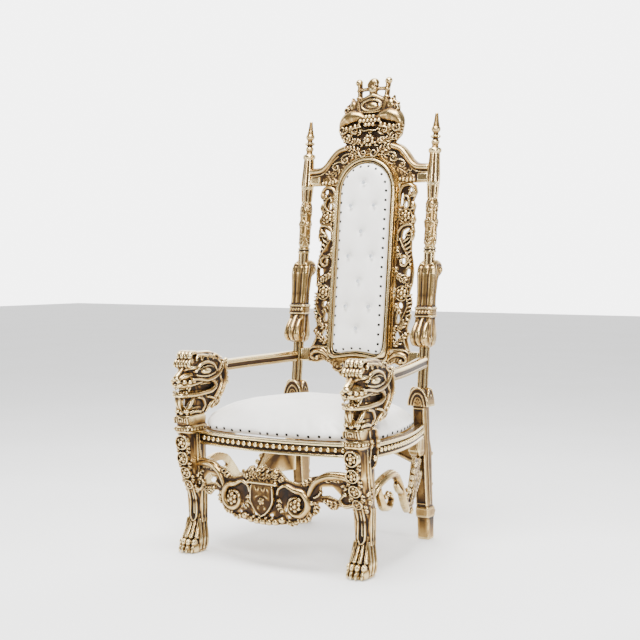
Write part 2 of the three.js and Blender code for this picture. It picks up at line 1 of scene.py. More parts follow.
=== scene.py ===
# %% [markdown]
# # A carved and gilded throne
# This notebook dresses a throne: lion-headed front legs, turned posts, pierced scroll carving, a
# crowned crest, and a padded seat and back. The solids made earlier fix every size. Here each one
# gets the finer form and the finish of the real thing.

import math
import bpy
import bmesh
import numpy as np
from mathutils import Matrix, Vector


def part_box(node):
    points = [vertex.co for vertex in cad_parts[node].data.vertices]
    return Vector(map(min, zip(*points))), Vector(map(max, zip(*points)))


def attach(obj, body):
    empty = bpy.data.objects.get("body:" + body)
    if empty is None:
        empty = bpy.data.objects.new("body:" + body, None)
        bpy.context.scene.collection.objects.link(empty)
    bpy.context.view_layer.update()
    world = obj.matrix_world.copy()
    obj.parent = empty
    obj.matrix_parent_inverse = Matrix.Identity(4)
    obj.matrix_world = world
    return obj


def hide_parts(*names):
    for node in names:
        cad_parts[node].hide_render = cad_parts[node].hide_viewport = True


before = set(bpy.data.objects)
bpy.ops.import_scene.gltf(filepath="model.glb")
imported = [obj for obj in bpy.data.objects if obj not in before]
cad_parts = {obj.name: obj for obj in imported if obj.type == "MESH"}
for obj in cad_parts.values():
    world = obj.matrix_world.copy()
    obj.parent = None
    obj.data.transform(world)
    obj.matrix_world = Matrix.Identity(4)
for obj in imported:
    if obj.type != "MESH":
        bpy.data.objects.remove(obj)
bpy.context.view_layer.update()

# %% [markdown]
# ## The camera
# A throne is looked at from a little to one side and from about chest height, with a long lens, so
# that its uprights stay upright. The camera is made first, because every later choice of detail
# depends on how large the throne stands in the picture.

# %% Camera
MM = 0.001
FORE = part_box("front_leg_right")[0][1] / MM + 444.0   # how far the drawing's y is moved in the frame

camera_data = bpy.data.cameras.new("camera")
camera_data.sensor_width = 36.0
camera_data.lens = 67.275
camera = bpy.data.objects.new("camera", camera_data)
camera.location = (2.347, (-3814.0 + FORE) * MM, 1.063)
camera.rotation_euler = (math.radians(90.0 - 2.719), 0.0, math.radians(31.778))
bpy.context.collection.objects.link(camera)
bpy.context.scene.camera = camera
print("the drawing is moved by", round(FORE, 2), "mm in y")

# %% [markdown]
# ## Measures from the drawing
# The back leans, so everything on it is drawn upright on a bench and then leaned. The front rail
# bows forward and each side rail curves in towards the rear post, so the aprons are drawn flat and
# then bent to those lines.

# %% Leaning, bowing and wrapping
BACK_Y, LEAN = 192.3, 0.1074        # the plane of the back: where it meets the floor, and its slope
LEG_X, POST_X, REAR_X = 357.0, 286.0, 280.0
FRONT_Y, FRONT_BOW = -347.0, 52.0
RAIL_LOW, RAIL_TOP = 403.0, 453.0
FRAME_INNER, FRAME_OUTER, ARCH_Z, FRAME_FOOT = 113.0, 139.0, 1348.0, 706.0
SIDE_LINE = ((392, -287), (412, -110), (370, 50), (304, 242))   # control points of a side rail, in plan


def bezier(points, t):
    """Points of a cubic curve at each t."""
    p = np.array(points, float)
    t = np.asarray(t, float)[:, None]
    return ((1 - t) ** 3 * p[0] + 3 * (1 - t) ** 2 * t * p[1]
            + 3 * (1 - t) * t ** 2 * p[2] + t ** 3 * p[3])


def front_bow(x):
    return FRONT_Y - FRONT_BOW * (1 - (x / (LEG_X - 33)) ** 2)


# Each of these takes bench points (x, height, rise towards the viewer) to the throne, in mm.
def on_back(v):
    x, z, rise = v.T
    return np.stack([x, BACK_Y + LEAN * z - rise + FORE, z], 1)


def on_front(v):
    x, z, rise = v.T
    return np.stack([x, front_bow(x) + 4 - rise + FORE, z], 1)


def on_side(v):
    along, z, rise = v.T
    line = bezier(SIDE_LINE, np.linspace(0, 1, 200))
    x = np.interp(along, line[:, 1], line[:, 0])
    return np.stack([x - 20 + rise, along + FORE, z], 1)


def on_face(y):
    """Upright, facing the front, at depth y."""
    return lambda v: np.stack([v[:, 0], y - v[:, 2] + FORE, v[:, 1]], 1)


print("bow of the front rail at its middle:", front_bow(0.0))

# %% [markdown]
# ## Finishes
# Four finishes cover the throne. The wood is carved, primed, covered in gold leaf paint, rubbed back
# on the high places and glazed with brown that stays in the hollows. The gold's colour is also made
# darker in the deepest hollows, down to near black, which is painted shade. Each carved piece therefore
# carries an attribute named "hollow", measured from its own shape, that says how deep a point lies.

# %% Colours and nodes
def colour(hexed):
    """An sRGB hex colour as linear values, for a shader."""
    parts = [int(hexed[i:i + 2], 16) / 255 for i in (1, 3, 5)]
    return [c / 12.92 if c <= 0.04045 else ((c + 0.055) / 1.055) ** 2.4 for c in parts] + [1.0]


def add(material, kind, settings=None, links=None):
    """Adds one node, sets its values and links its inputs to other nodes' outputs."""
    node = material.node_tree.nodes.new(kind)
    for name, value in (settings or {}).items():
        if name in node.inputs.keys() if isinstance(name, str) else True:
            node.inputs[name].default_value = value
        else:
            setattr(node, name, value)
    for name, (source, output) in (links or {}).items():
        material.node_tree.links.new(source.outputs[output], node.inputs[name])
    return node


def ramp(material, source, output, stops):
    """A colour ramp on a node's output, with stops of (place, hex colour)."""
    node = add(material, "ShaderNodeValToRGB", links={0: (source, output)})
    elements = node.color_ramp.elements
    while len(elements) < len(stops):
        elements.new(1.0)
    for element, (place, hexed) in zip(elements, stops):
        element.position = place
        element.color = colour(hexed)
    return node


def blank(name):
    material = bpy.data.materials.new(name)
    material.use_nodes = True
    material.node_tree.nodes.clear()
    return material


def finish_with(material, shader):
    out = material.node_tree.nodes.new("ShaderNodeOutputMaterial")
    material.node_tree.links.new(shader.outputs[0], out.inputs[0])
    return material


# %% Antique gold
def antique_gold():
    """Gold paint over gesso: bright and smooth on rubbed edges, brown glaze and painted shade in hollows.
    """
    m = blank("antique_gold")
    place = add(m, "ShaderNodeTexCoord")
    hollow = add(m, "ShaderNodeAttribute", {"attribute_name": "hollow"})
    blotch = add(m, "ShaderNodeTexNoise", {"Scale": 38.0, "Detail": 4.0, "Roughness": 0.6},
                 {"Vector": (place, "Object")})          # patches about 25 mm across
    grain = add(m, "ShaderNodeTexNoise", {"Scale": 420.0, "Detail": 3.0, "Roughness": 0.7},
                {"Vector": (place, "Object")})           # brush marks about 2 mm wide
    uneven = add(m, "ShaderNodeMath", {"operation": "MULTIPLY_ADD", 1: 0.16, 2: -0.08},
                 {0: (blotch, 0)})
    speck = add(m, "ShaderNodeMath", {"operation": "MULTIPLY_ADD", 1: 0.10, 2: -0.05},
                {0: (grain, 0)})
    both = add(m, "ShaderNodeMath", {"operation": "ADD"}, {0: (uneven, 0), 1: (speck, 0)})
    depth = add(m, "ShaderNodeMath", {"operation": "ADD", "use_clamp": True},
                {0: (hollow, "Fac"), 1: (both, 0)})
    # the ramp runs from rubbed gold on ridges to brown glaze, then to painted shade near black in deep
    # hollows
    tone = ramp(m, depth, 0, [(0.0, "#E8D3A0"), (0.31, "#A88A58"), (0.5, "#785C34"),
                              (0.63, "#3E2A16"), (0.9, "#150C05")])
    metal = add(m, "ShaderNodeMapRange", {1: 0.45, 2: 1.0, 3: 1.0, 4: 0.5}, {0: (depth, 0)})
    rough = add(m, "ShaderNodeMapRange", {1: 0.2, 2: 1.0, 3: 0.24, 4: 0.55}, {0: (depth, 0)})
    bump = add(m, "ShaderNodeBump", {"Strength": 0.22, "Distance": 0.0006}, {"Height": (grain, 0)})
    shader = add(m, "ShaderNodeBsdfPrincipled", {}, {
        "Base Color": (tone, 0), "Metallic": (metal, 0), "Roughness": (rough, 0),
        "Normal": (bump, 0)})
    return finish_with(m, shader)


def white_leather():
    """Coated upholstery leather: a fine pebbled grain that the padding pulls smooth."""
    m = blank("white_leather")
    place = add(m, "ShaderNodeTexCoord")
    pebble_grain = add(m, "ShaderNodeTexVoronoi", {"Scale": 520.0}, {"Vector": (place, "Object")})
    cloud = add(m, "ShaderNodeTexNoise", {"Scale": 9.0, "Detail": 3.0}, {"Vector": (place, "Object")})
    tone = ramp(m, cloud, 0, [(0.3, "#E9E6E0"), (0.7, "#F3F1EC")])
    bump = add(m, "ShaderNodeBump", {"Strength": 0.12, "Distance": 0.0008},
               {"Height": (pebble_grain, 0)})
    shader = add(m, "ShaderNodeBsdfPrincipled",
                 {"Roughness": 0.46, "IOR": 1.5, "Coat Weight": 0.12, "Coat Roughness": 0.3},
                 {"Base Color": (tone, 0), "Normal": (bump, 0)})
    return finish_with(m, shader)


def cut_crystal():
    """Cut glass with a foiled back: clear, hard and bright."""
    m = blank("cut_crystal")
    place = add(m, "ShaderNodeTexCoord")
    sparkle = add(m, "ShaderNodeTexNoise", {"Scale": 300.0}, {"Vector": (place, "Object")})
    tone = ramp(m, sparkle, 0, [(0.35, "#AEB4BA"), (0.65, "#F2F5F7")])
    shader = add(m, "ShaderNodeBsdfPrincipled",
                 {"Metallic": 0.35, "Roughness": 0.06, "IOR": 1.55, "Coat Weight": 0.8},
                 {"Base Color": (tone, 0)})
    return finish_with(m, shader)


def dark_nail():
    """Domed upholstery nails of blackened steel, rubbed a little on top."""
    m = blank("dark_nail")
    place = add(m, "ShaderNodeTexCoord")
    rub = add(m, "ShaderNodeTexNoise", {"Scale": 260.0}, {"Vector": (place, "Object")})
    tone = ramp(m, rub, 0, [(0.35, "#1C1B1A"), (0.7, "#3A3835")])
    shader = add(m, "ShaderNodeBsdfPrincipled", {"Metallic": 0.8, "Roughness": 0.34},
                 {"Base Color": (tone, 0)})
    return finish_with(m, shader)


GOLD, LEATHER, CRYSTAL, NAIL = antique_gold(), white_leather(), cut_crystal(), dark_nail()
print("finishes:", [m.name for m in (GOLD, LEATHER, CRYSTAL, NAIL)])

# %% [markdown]
# ## The carver's bench
# Carving is built from a few kinds of cut. A band is a strip that follows a curve, swells and
# narrows, and has a rounded, ridged or grooved top. A leaf is a rib with fingers. A coil winds in to
# an eye. A pebble is a rounded lump. Curves with a bevel could make bands too, but a band here has
# its own width and height all along, so it is lofted directly. The cuts are then fused by a voxel
# remesh and rubbed smooth, as a rasp and sandpaper do.

# %% Lines and sections
def flowing(points, spacing=4.0):
    """A smooth line through points, about spacing mm apart, with its place along from 0 to 1."""
    p = np.array(points, float)
    p = np.vstack([2 * p[0] - p[1], p, 2 * p[-1] - p[-2]])
    out = []
    for a, b, c, d in zip(p, p[1:], p[2:], p[3:]):
        n = max(2, int(np.linalg.norm(c - b) / spacing))
        t = (np.arange(n) / n)[:, None]
        out.append(0.5 * (2 * b + (c - a) * t + (2 * a - 5 * b + 4 * c - d) * t ** 2
                          + (3 * b - a - 3 * c + d) * t ** 3))
    line = np.vstack(out + [p[-2:-1]])
    gaps = np.linalg.norm(np.diff(line, axis=0), axis=1)
    place = np.concatenate([[0], np.cumsum(gaps)])
    return line, place / place[-1]


# Sections across a band: place across from -1 to 1, and height from 0 to 1.
ACROSS = np.linspace(-1, 1, 11)
DOME = np.stack([ACROSS, np.sqrt(np.clip(1 - ACROSS ** 2, 0, 1)) * 0.92 + 0.08], 1)
RIDGE = np.stack([ACROSS, 1 - 0.85 * np.abs(ACROSS) ** 0.8], 1)


def closed(verts, faces):
    """Turns a closed shape outward."""
    centre = verts.mean(0)
    volume = 0.0
    for face in faces:
        ring = verts[list(face)] - centre
        for k in range(1, len(face) - 1):
            volume += np.dot(ring[0], np.cross(ring[k], ring[k + 1]))
    return verts, faces if volume > 0 else [tuple(reversed(f)) for f in faces]


def lofted(rings):
    """A closed skin over rings of points, each ring in the same order."""
    rings = np.array(rings)
    n, m = rings.shape[:2]
    faces = [(i * m + j, i * m + (j + 1) % m, (i + 1) * m + (j + 1) % m, (i + 1) * m + j)
             for i in range(n - 1) for j in range(m)]
    faces += [tuple(range(m))[::-1], tuple((n - 1) * m + j for j in range(m))]
    return closed(rings.reshape(-1, 3), faces)


def band(path, widths, rise=10.0, base=-5.0, section=DOME, floor=0.0, spacing=4.0):
    """A carved strip on the bench: widths are half widths along it, rise is its height."""
    line, t = flowing(path, spacing)
    half = np.interp(t, np.linspace(0, 1, len(widths)), widths)
    head = np.gradient(line, axis=0)
    head /= np.linalg.norm(head, axis=1)[:, None]
    side = np.stack([head[:, 1], -head[:, 0]], 1)
    high = floor + rise * (0.3 + 0.7 * half / max(widths))
    rings = []
    for point, across, w, h in zip(line, side, half, high):
        top = [(*(point + across * w * s), base + (h - base) * k) for s, k in section]
        rings.append([(*(point + across * w), base)] + top[::-1] + [(*(point - across * w), base)])
    return [lofted(rings)]


def coil(x, z, r, start, sweep, inner=0.22):
    """Points that wind in around (x, z). Angles in degrees."""
    steps = max(6, int(abs(sweep) / 40))
    t = np.linspace(0, 1, steps + 1)
    angle = np.radians(start + sweep * t)
    reach = r * (1 - (1 - inner) * t)
    return [(x + a * math.cos(b), z + a * math.sin(b)) for a, b in zip(reach, angle)]


# %% Pebbles, leaves and flowers
bpy.ops.mesh.primitive_ico_sphere_add(subdivisions=3, radius=1.0)
unit_ball = bpy.context.object
BALL = (np.array([v.co[:] for v in unit_ball.data.vertices]),
        [tuple(p.vertices) for p in unit_ball.data.polygons])
bpy.data.objects.remove(unit_ball)


def pebble(x, z, rise, r, rz=None, depth=None):
    """A rounded lump: r across, rz up, depth towards the viewer."""
    scale = np.array([r, rz or r, depth or r])
    return [(BALL[0] * scale + (x, z, rise), BALL[1])]


def leaf(path, half, lobes=5, rise=12.0, floor=0.0, lean=50.0, both=True):
    """An acanthus leaf: a rib with curved fingers on both sides, largest in the middle."""
    line, _ = flowing(path, 3.0)
    length = np.linalg.norm(np.diff(line, axis=0), axis=1).sum()
    forms = band(path, [half * 0.30, half * 0.42, half * 0.30, 1.2], rise, section=RIDGE, floor=floor)
    pitch = length / (lobes + 0.6)
    for k in range(lobes):
        at = (k + 0.35) / (lobes + 0.2)
        i = min(int(at * (len(line) - 1)), len(line) - 2)
        head = line[i + 1] - line[i]
        head /= np.linalg.norm(head)
        reach = half * (0.55 + 0.6 * math.sin(math.pi * min(1, at + 0.18)))
        for side in (1, -1) if both else (1,):
            turn = math.radians(lean) * side
            out = np.array([head[0] * math.cos(turn) - head[1] * math.sin(turn),
                            head[0] * math.sin(turn) + head[1] * math.cos(turn)])
            tip = line[i] + out * reach + head * reach * 0.28
            mid = line[i] + out * reach * 0.55
            w = min(pitch * 0.46, half * 0.42)
            forms += band([line[i], mid, tip], [w * 0.8, w, w * 0.45], rise * 0.78, floor=floor)
    return forms


def flower(x, z, r, petals=6, rise=6.0, depth=6.0):
    """Petals around an eye."""
    forms = pebble(x, z, rise + depth * 0.5, r * 0.34, depth=depth)
    for k in range(petals):
        a = 2 * math.pi * (k + 0.5) / petals
        forms += pebble(x + 0.62 * r * math.cos(a), z + 0.62 * r * math.sin(a), rise,
                        r * min(0.42, 2.0 / petals), depth=depth)
    return forms


def scroll(path, widths, eye, **how):
    """A band that ends in a rounded eye."""
    x, z = path[-1]
    return band(path, widths, **how) + pebble(x, z, how.get("rise", 10) * 0.5 + how.get("floor", 0),
                                              eye, depth=eye * 0.8)


def mirrored(forms):
    return [(v * (-1, 1, 1), [tuple(reversed(f)) for f in faces]) for v, faces in forms]


def both_sides(forms):
    return forms + mirrored(forms)


def board(outline, low, high, holes=(), soft=1.5):
    """A sawn board with holes, from a filled curve that is thickened: a fretsaw's work."""
    data = bpy.data.curves.new("board", "CURVE")
    data.dimensions, data.fill_mode = "2D", "BOTH"
    data.extrude = (high - low) / 2 - soft
    data.bevel_depth = soft
    data.offset = -soft
    for ring in (outline, *holes):
        spline = data.splines.new("POLY")
        spline.points.add(len(ring) - 1)
        for point, (x, z) in zip(spline.points, ring):
            point.co = (x, z, 0, 1)
        spline.use_cyclic_u = True
    thing = bpy.data.objects.new("board", data)
    bpy.context.collection.objects.link(thing)
    mesh = thing.to_mesh()
    verts = np.array([v.co[:] for v in mesh.vertices]) + (0, 0, (low + high) / 2)
    faces = [tuple(p.vertices) for p in mesh.polygons]
    thing.to_mesh_clear()
    bpy.data.objects.remove(thing)
    return [(verts, faces)]


# %% Fusing, rubbing down and gilding
def deselect():
    for thing in bpy.context.selected_objects:
        thing.select_set(False)


def select_only(thing):
    deselect()
    thing.select_set(True)
    bpy.context.view_layer.objects.active = thing


def apply_modifier(thing, kind, **settings):
    select_only(thing)
    modifier = thing.modifiers.new(kind.lower(), kind)
    for name, value in settings.items():
        setattr(modifier, name, value)
    bpy.ops.object.modifier_apply(modifier=modifier.name)


def mesh_of(name, forms):
    """One object from many closed forms."""
    verts, faces, first = [], [], 0
    for v, f in forms:
        verts.append(v)
        faces += [tuple(i + first for i in face) for face in f]
        first += len(v)
    data = bpy.data.meshes.new(name)
    data.from_pydata(np.vstack(verts), [], faces)
    thing = bpy.data.objects.new(name, data)
    bpy.context.collection.objects.link(thing)
    return thing


def corners(thing):
    flat = np.empty(len(thing.data.vertices) * 3)
    thing.data.vertices.foreach_get("co", flat)
    return flat.reshape(-1, 3)


def put(thing, verts):
    thing.data.vertices.foreach_set("co", np.ascontiguousarray(verts).ravel())
    thing.data.update()


def measure_hollows(thing, reach_mm=(2.5, 9.0), gain=(0.55, 0.45)):
    """How far each point lies under its smoothed surroundings, as an attribute from 0 to 1."""
    v = corners(thing) / MM
    count = len(v)
    ends = np.empty(len(thing.data.edges) * 2, int)
    thing.data.edges.foreach_get("vertices", ends)
    a, b = ends.reshape(-1, 2).T
    degree = np.bincount(a, minlength=count) + np.bincount(b, minlength=count) + 1.0
    normal = np.empty(count * 3)
    thing.data.vertices.foreach_get("normal", normal)
    normal = normal.reshape(-1, 3)
    edge = float(np.median(np.linalg.norm(v[a] - v[b], axis=1)))
    depth = np.zeros(count)
    smooth, done = v.copy(), 0
    for reach, weight in zip(reach_mm, gain):
        rounds = min(60, max(2, int((reach / edge) ** 2)))
        for _ in range(rounds - done):
            total = smooth.copy()
            for axis in range(3):
                total[:, axis] += (np.bincount(a, smooth[b, axis], count)
                                   + np.bincount(b, smooth[a, axis], count))
            smooth = total / degree[:, None]
        done = max(done, rounds)
        depth += weight * np.clip(((smooth - v) * normal).sum(1) / (reach * 0.22), -1, 1)
    value = np.clip(0.5 + 0.5 * depth, 0, 1)
    attribute = thing.data.attributes.new("hollow", "FLOAT", "POINT")
    attribute.data.foreach_set("value", value)


def dress(thing, finish):
    """Gives the piece its material and its body, and says how large its mesh is."""
    thing.data.materials.clear()
    thing.data.materials.append(finish)
    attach(thing, "root")
    print(thing.name, "faces:", len(thing.data.polygons))


def gild(thing, *nodes, smooth_angle=50.0):
    """Measures hollows, gives the gold finish and stands the piece in for its solids."""
    select_only(thing)
    bpy.ops.object.shade_smooth_by_angle(angle=math.radians(smooth_angle))
    measure_hollows(thing)
    dress(thing, GOLD)
    if nodes:
        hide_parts(*nodes)


def thin_out(thing, most):
    """Leaves about that many triangles: flat places need fewer than carved ones."""
    now = sum(len(p.vertices) - 2 for p in thing.data.polygons)
    if now > most:
        apply_modifier(thing, "DECIMATE", ratio=most / now)


def carve(name, forms, place, *nodes, voxel=2.2, rub=3, most=60000, turned=False):
    """Fuses forms on the bench, rubs them down, sets them in place and gilds them."""
    thing = mesh_of(name, forms)
    put(thing, corners(thing) * MM)
    apply_modifier(thing, "REMESH", mode="VOXEL", voxel_size=voxel * MM)
    if rub:
        apply_modifier(thing, "SMOOTH", factor=0.5, iterations=rub)
    thin_out(thing, most)
    put(thing, place(corners(thing) / MM) * MM)
    if turned:
        thing.data.flip_normals()
    gild(thing, *nodes)


print("the bench is ready")

# %% [markdown]
# ## The crest
# The crest rail is a sawn board with a rolled moulding along its top edge, shallow scrolls in its
# corners, and a tall ornament that ends in a crown. The board is sawn first. The mouldings and leaves
# are laid on it as bands, and everything is fused into one piece of wood.

# %% Crest rail
CREST_TOP, CREST_LOW = 1449.0, 1375.0
CREST_LINE = [(268, CREST_TOP), (236, 1450), (212, 1455), (190, 1472), (165, 1503), (140, 1526),
              (104, 1539)]


def arc(x, z, r, start, end, count=24, rz=None):
    angles = np.radians(np.linspace(start, end, count))
    return [(x + r * math.cos(a), z + (rz or r) * math.sin(a)) for a in angles]


def both_halves(half):
    """An outline from its right half, listed from the top down and drawn around to the left."""
    return half + [(-x, z) for x, z in reversed(half) if x > 0]


def crest_rail_forms():
    line = flowing(CREST_LINE, 6)[0]
    right = [(0, 1545)] + [(x, z) for x, z in line[::-1]] + [(268, CREST_LOW)]
    right += arc(0, ARCH_Z, FRAME_OUTER + 0.5, 11, 90, 24)
    forms = board(both_halves(right), -14, 7)
    half = band([(x, z - 15) for x, z in CREST_LINE], [15], 24, -8)
    half += band([(x, z - 33.5) for x, z in CREST_LINE[:6]], [4.5], 15)
    half += board([(222, 1382), (266, 1382), (266, 1410), (222, 1410)], -8, 15, soft=3)
    # scrolls and leaves in the corner between the moulding and the frame
    half += scroll([(70, 1494), (92, 1500), *coil(108, 1478, 19, 80, -430)], [5, 6, 6, 4], 6, rise=15)
    half += scroll([(116, 1462), (134, 1470), *coil(150, 1449, 16, 80, -430)], [5, 6, 5, 4], 5, rise=15)
    half += scroll([(168, 1462), (182, 1452), *coil(186, 1430, 12, 80, -400)], [4, 5, 5, 3], 4, rise=14)
    half += leaf([(132, 1440), (160, 1420), (205, 1394)], 20, 5, 14)
    half += leaf([(148, 1400), (170, 1395), (216, 1398)], 15, 4, 15)
    half += leaf([(84, 1458), (104, 1452), (128, 1428)], 14, 3, 13)
    for x, z, r in ((160, 1388, 8), (176, 1386, 9), (192, 1387, 8), (207, 1386, 7), (146, 1391, 7)):
        half += pebble(x, z, 7, r, depth=9)
    return forms + both_sides(half)


def crest_ornament_forms():
    outline = both_halves([(0, 1668), (40, 1668), (58, 1700), (96, 1722), (100, 1706), (118, 1694),
                           (110, 1672), (134, 1652), (146, 1608), (138, 1566), (112, 1540), (60, 1490),
                           (0, 1486)])
    forms = board(outline, -12, 5)
    half = []
    # spirals over the frame, and the leaves that rise beside the flower
    half += scroll([(40, 1520), (46, 1502), *coil(24, 1500, 17, 0, -470)], [5, 6, 6, 4], 5, rise=23)
    half += leaf([(34, 1490), (62, 1512), (112, 1528)], 19, 5, 22)
    half += leaf([(52, 1492), (76, 1488), (100, 1500)], 13, 3, 20)
    half += leaf([(24, 1528), (52, 1548), (74, 1560)], 15, 4, 26)
    half += leaf([(60, 1538), (96, 1556), (128, 1552)], 17, 5, 22)
    half += leaf([(36, 1580), (74, 1588), (104, 1566)], 20, 5, 24)
    # the wing: a smooth hollow lobe with a scalloped lower edge
    half += band([(22, 1636), (58, 1648), (96, 1646), (124, 1628), (134, 1604), (126, 1592)],
                 [9, 22, 29, 29, 19, 8], 30)
    for x, z, r in ((50, 1612, 8), (68, 1606, 9), (88, 1602, 9), (107, 1600, 8)):
        half += pebble(x, z, 12, r, r * 1.5, 11)
    half += scroll([(96, 1598), (112, 1584), *coil(124, 1598, 16, -100, 330)], [5, 8, 7, 5], 6, rise=26)
    half += scroll([(38, 1606), (60, 1602), *coil(70, 1588, 12, 80, -330)], [5, 7, 6, 4], 5, rise=26)
    # the feathery outer edge
    for k in range(9):
        a = math.radians(-58 + 13.5 * k)
        x, z = 96 + 40 * math.cos(a), 1604 + 44 * math.sin(a)
        half += band([(x - 12 * math.cos(a), z - 12 * math.sin(a)), (x, z),
                      (x + 12 * math.cos(a + 0.45), z + 13 * math.sin(a + 0.45))], [5, 8, 4], 16)
    # jagged ears beside the crown, each finger a ridge
    for x, z in ((70, 1722), (96, 1726), (101, 1708), (120, 1695), (112, 1678)):
        half += band([(64, 1672), ((64 + x) / 2 + 3, (1672 + z) / 2), (x, z)], [12, 15, 4.5], 15, -9,
                     section=RIDGE)
    half += pebble(84, 1690, 8, 15, 20, 9)
    half += scroll([(100, 1662), (118, 1668), *coil(110, 1676, 11, -30, 300)], [4, 6, 6, 4], 5, rise=18)
    # berries between the wings, and a strap under them
    for row, z in enumerate((1644, 1628, 1612)):
        for k in range(2 + row % 2):
            x = 17.0 * k + (8.5 if row % 2 else 0)
            if x > 0:
                half += pebble(x, z, 18, 8.6, depth=10)
            else:
                forms += pebble(x, z, 20, 8.6, depth=10)
    half += band([(0, 1592), (22, 1588), (40, 1596)], [6, 6, 4], 24)
    # the flower in the middle of the crest
    forms += flower(0, 1549, 30, 8, 16, 9) + pebble(0, 1549, 26, 9, depth=9)
    forms += leaf([(0, 1520), (0, 1508), (0, 1488)], 15, 3, 22)
    forms += leaf([(0, 1576), (0, 1584), (0, 1598)], 14, 3, 22)
    return forms + both_sides(half)


def crown_forms():
    forms, half = [], []
    # a rim around an oval boss
    forms += band(arc(0, 1690, 44, 0, 375, 30, 22), [8.5], 17, -9) + pebble(0, 1688, 2, 29, 18, 16)
    forms += band([(-62, 1668), (0, 1662), (62, 1668)], [7], 15, -9)
    # the gable, its bar, and the orb and cap above
    half += band([(64, 1706), (44, 1714), (22, 1724), (0, 1732)], [10, 10, 10, 11], 15, -9)
    half += band([(66, 1754), (34, 1757), (0, 1757)], [9, 8, 10], 12, -9)
    half += pebble(12, 1741, 0, 7, 9, 8)
    forms += pebble(0, 1757, 1, 23, 20, 18) + pebble(0, 1780, 0, 24, 20, 17)
    for k in range(-2, 3):
        forms += band([(11 * k, 1766), (8 * k, 1782), (3 * k, 1796)], [4, 4, 2], 17, 2)
    # the prongs and their balls
    half += band([(54, 1662), (60, 1690), (62, 1722)], [13, 14, 11], 16, -9)
    half += band([(60, 1716), (62, 1745), (65, 1782)], [11, 9.5, 10.5], 13, -9)
    half += pebble(62, 1722, 1, 15, 7, 13) + pebble(63, 1752, 1, 13, 7, 12)
    half += pebble(67, 1785, 0, 16, 14.5, 14)
    half += band([(52, 1700), (48, 1706), (50, 1716)], [5], 12, -6)
    return forms + both_sides(half)


carve("crest_carving", crest_rail_forms() + crest_ornament_forms() + crown_forms(), on_back,
      "crest_rail", voxel=2.1, rub=3, most=108000)

# %% [markdown]
# ## The fretwork
# A pierced strip fills each gap between the frame and a post. It is sawn through first, which leaves
# the light showing, and then modelled: scrolls above, flowers at two heights, and long leaves between
# them. One strip is carved and its twin is the same drawing turned over.

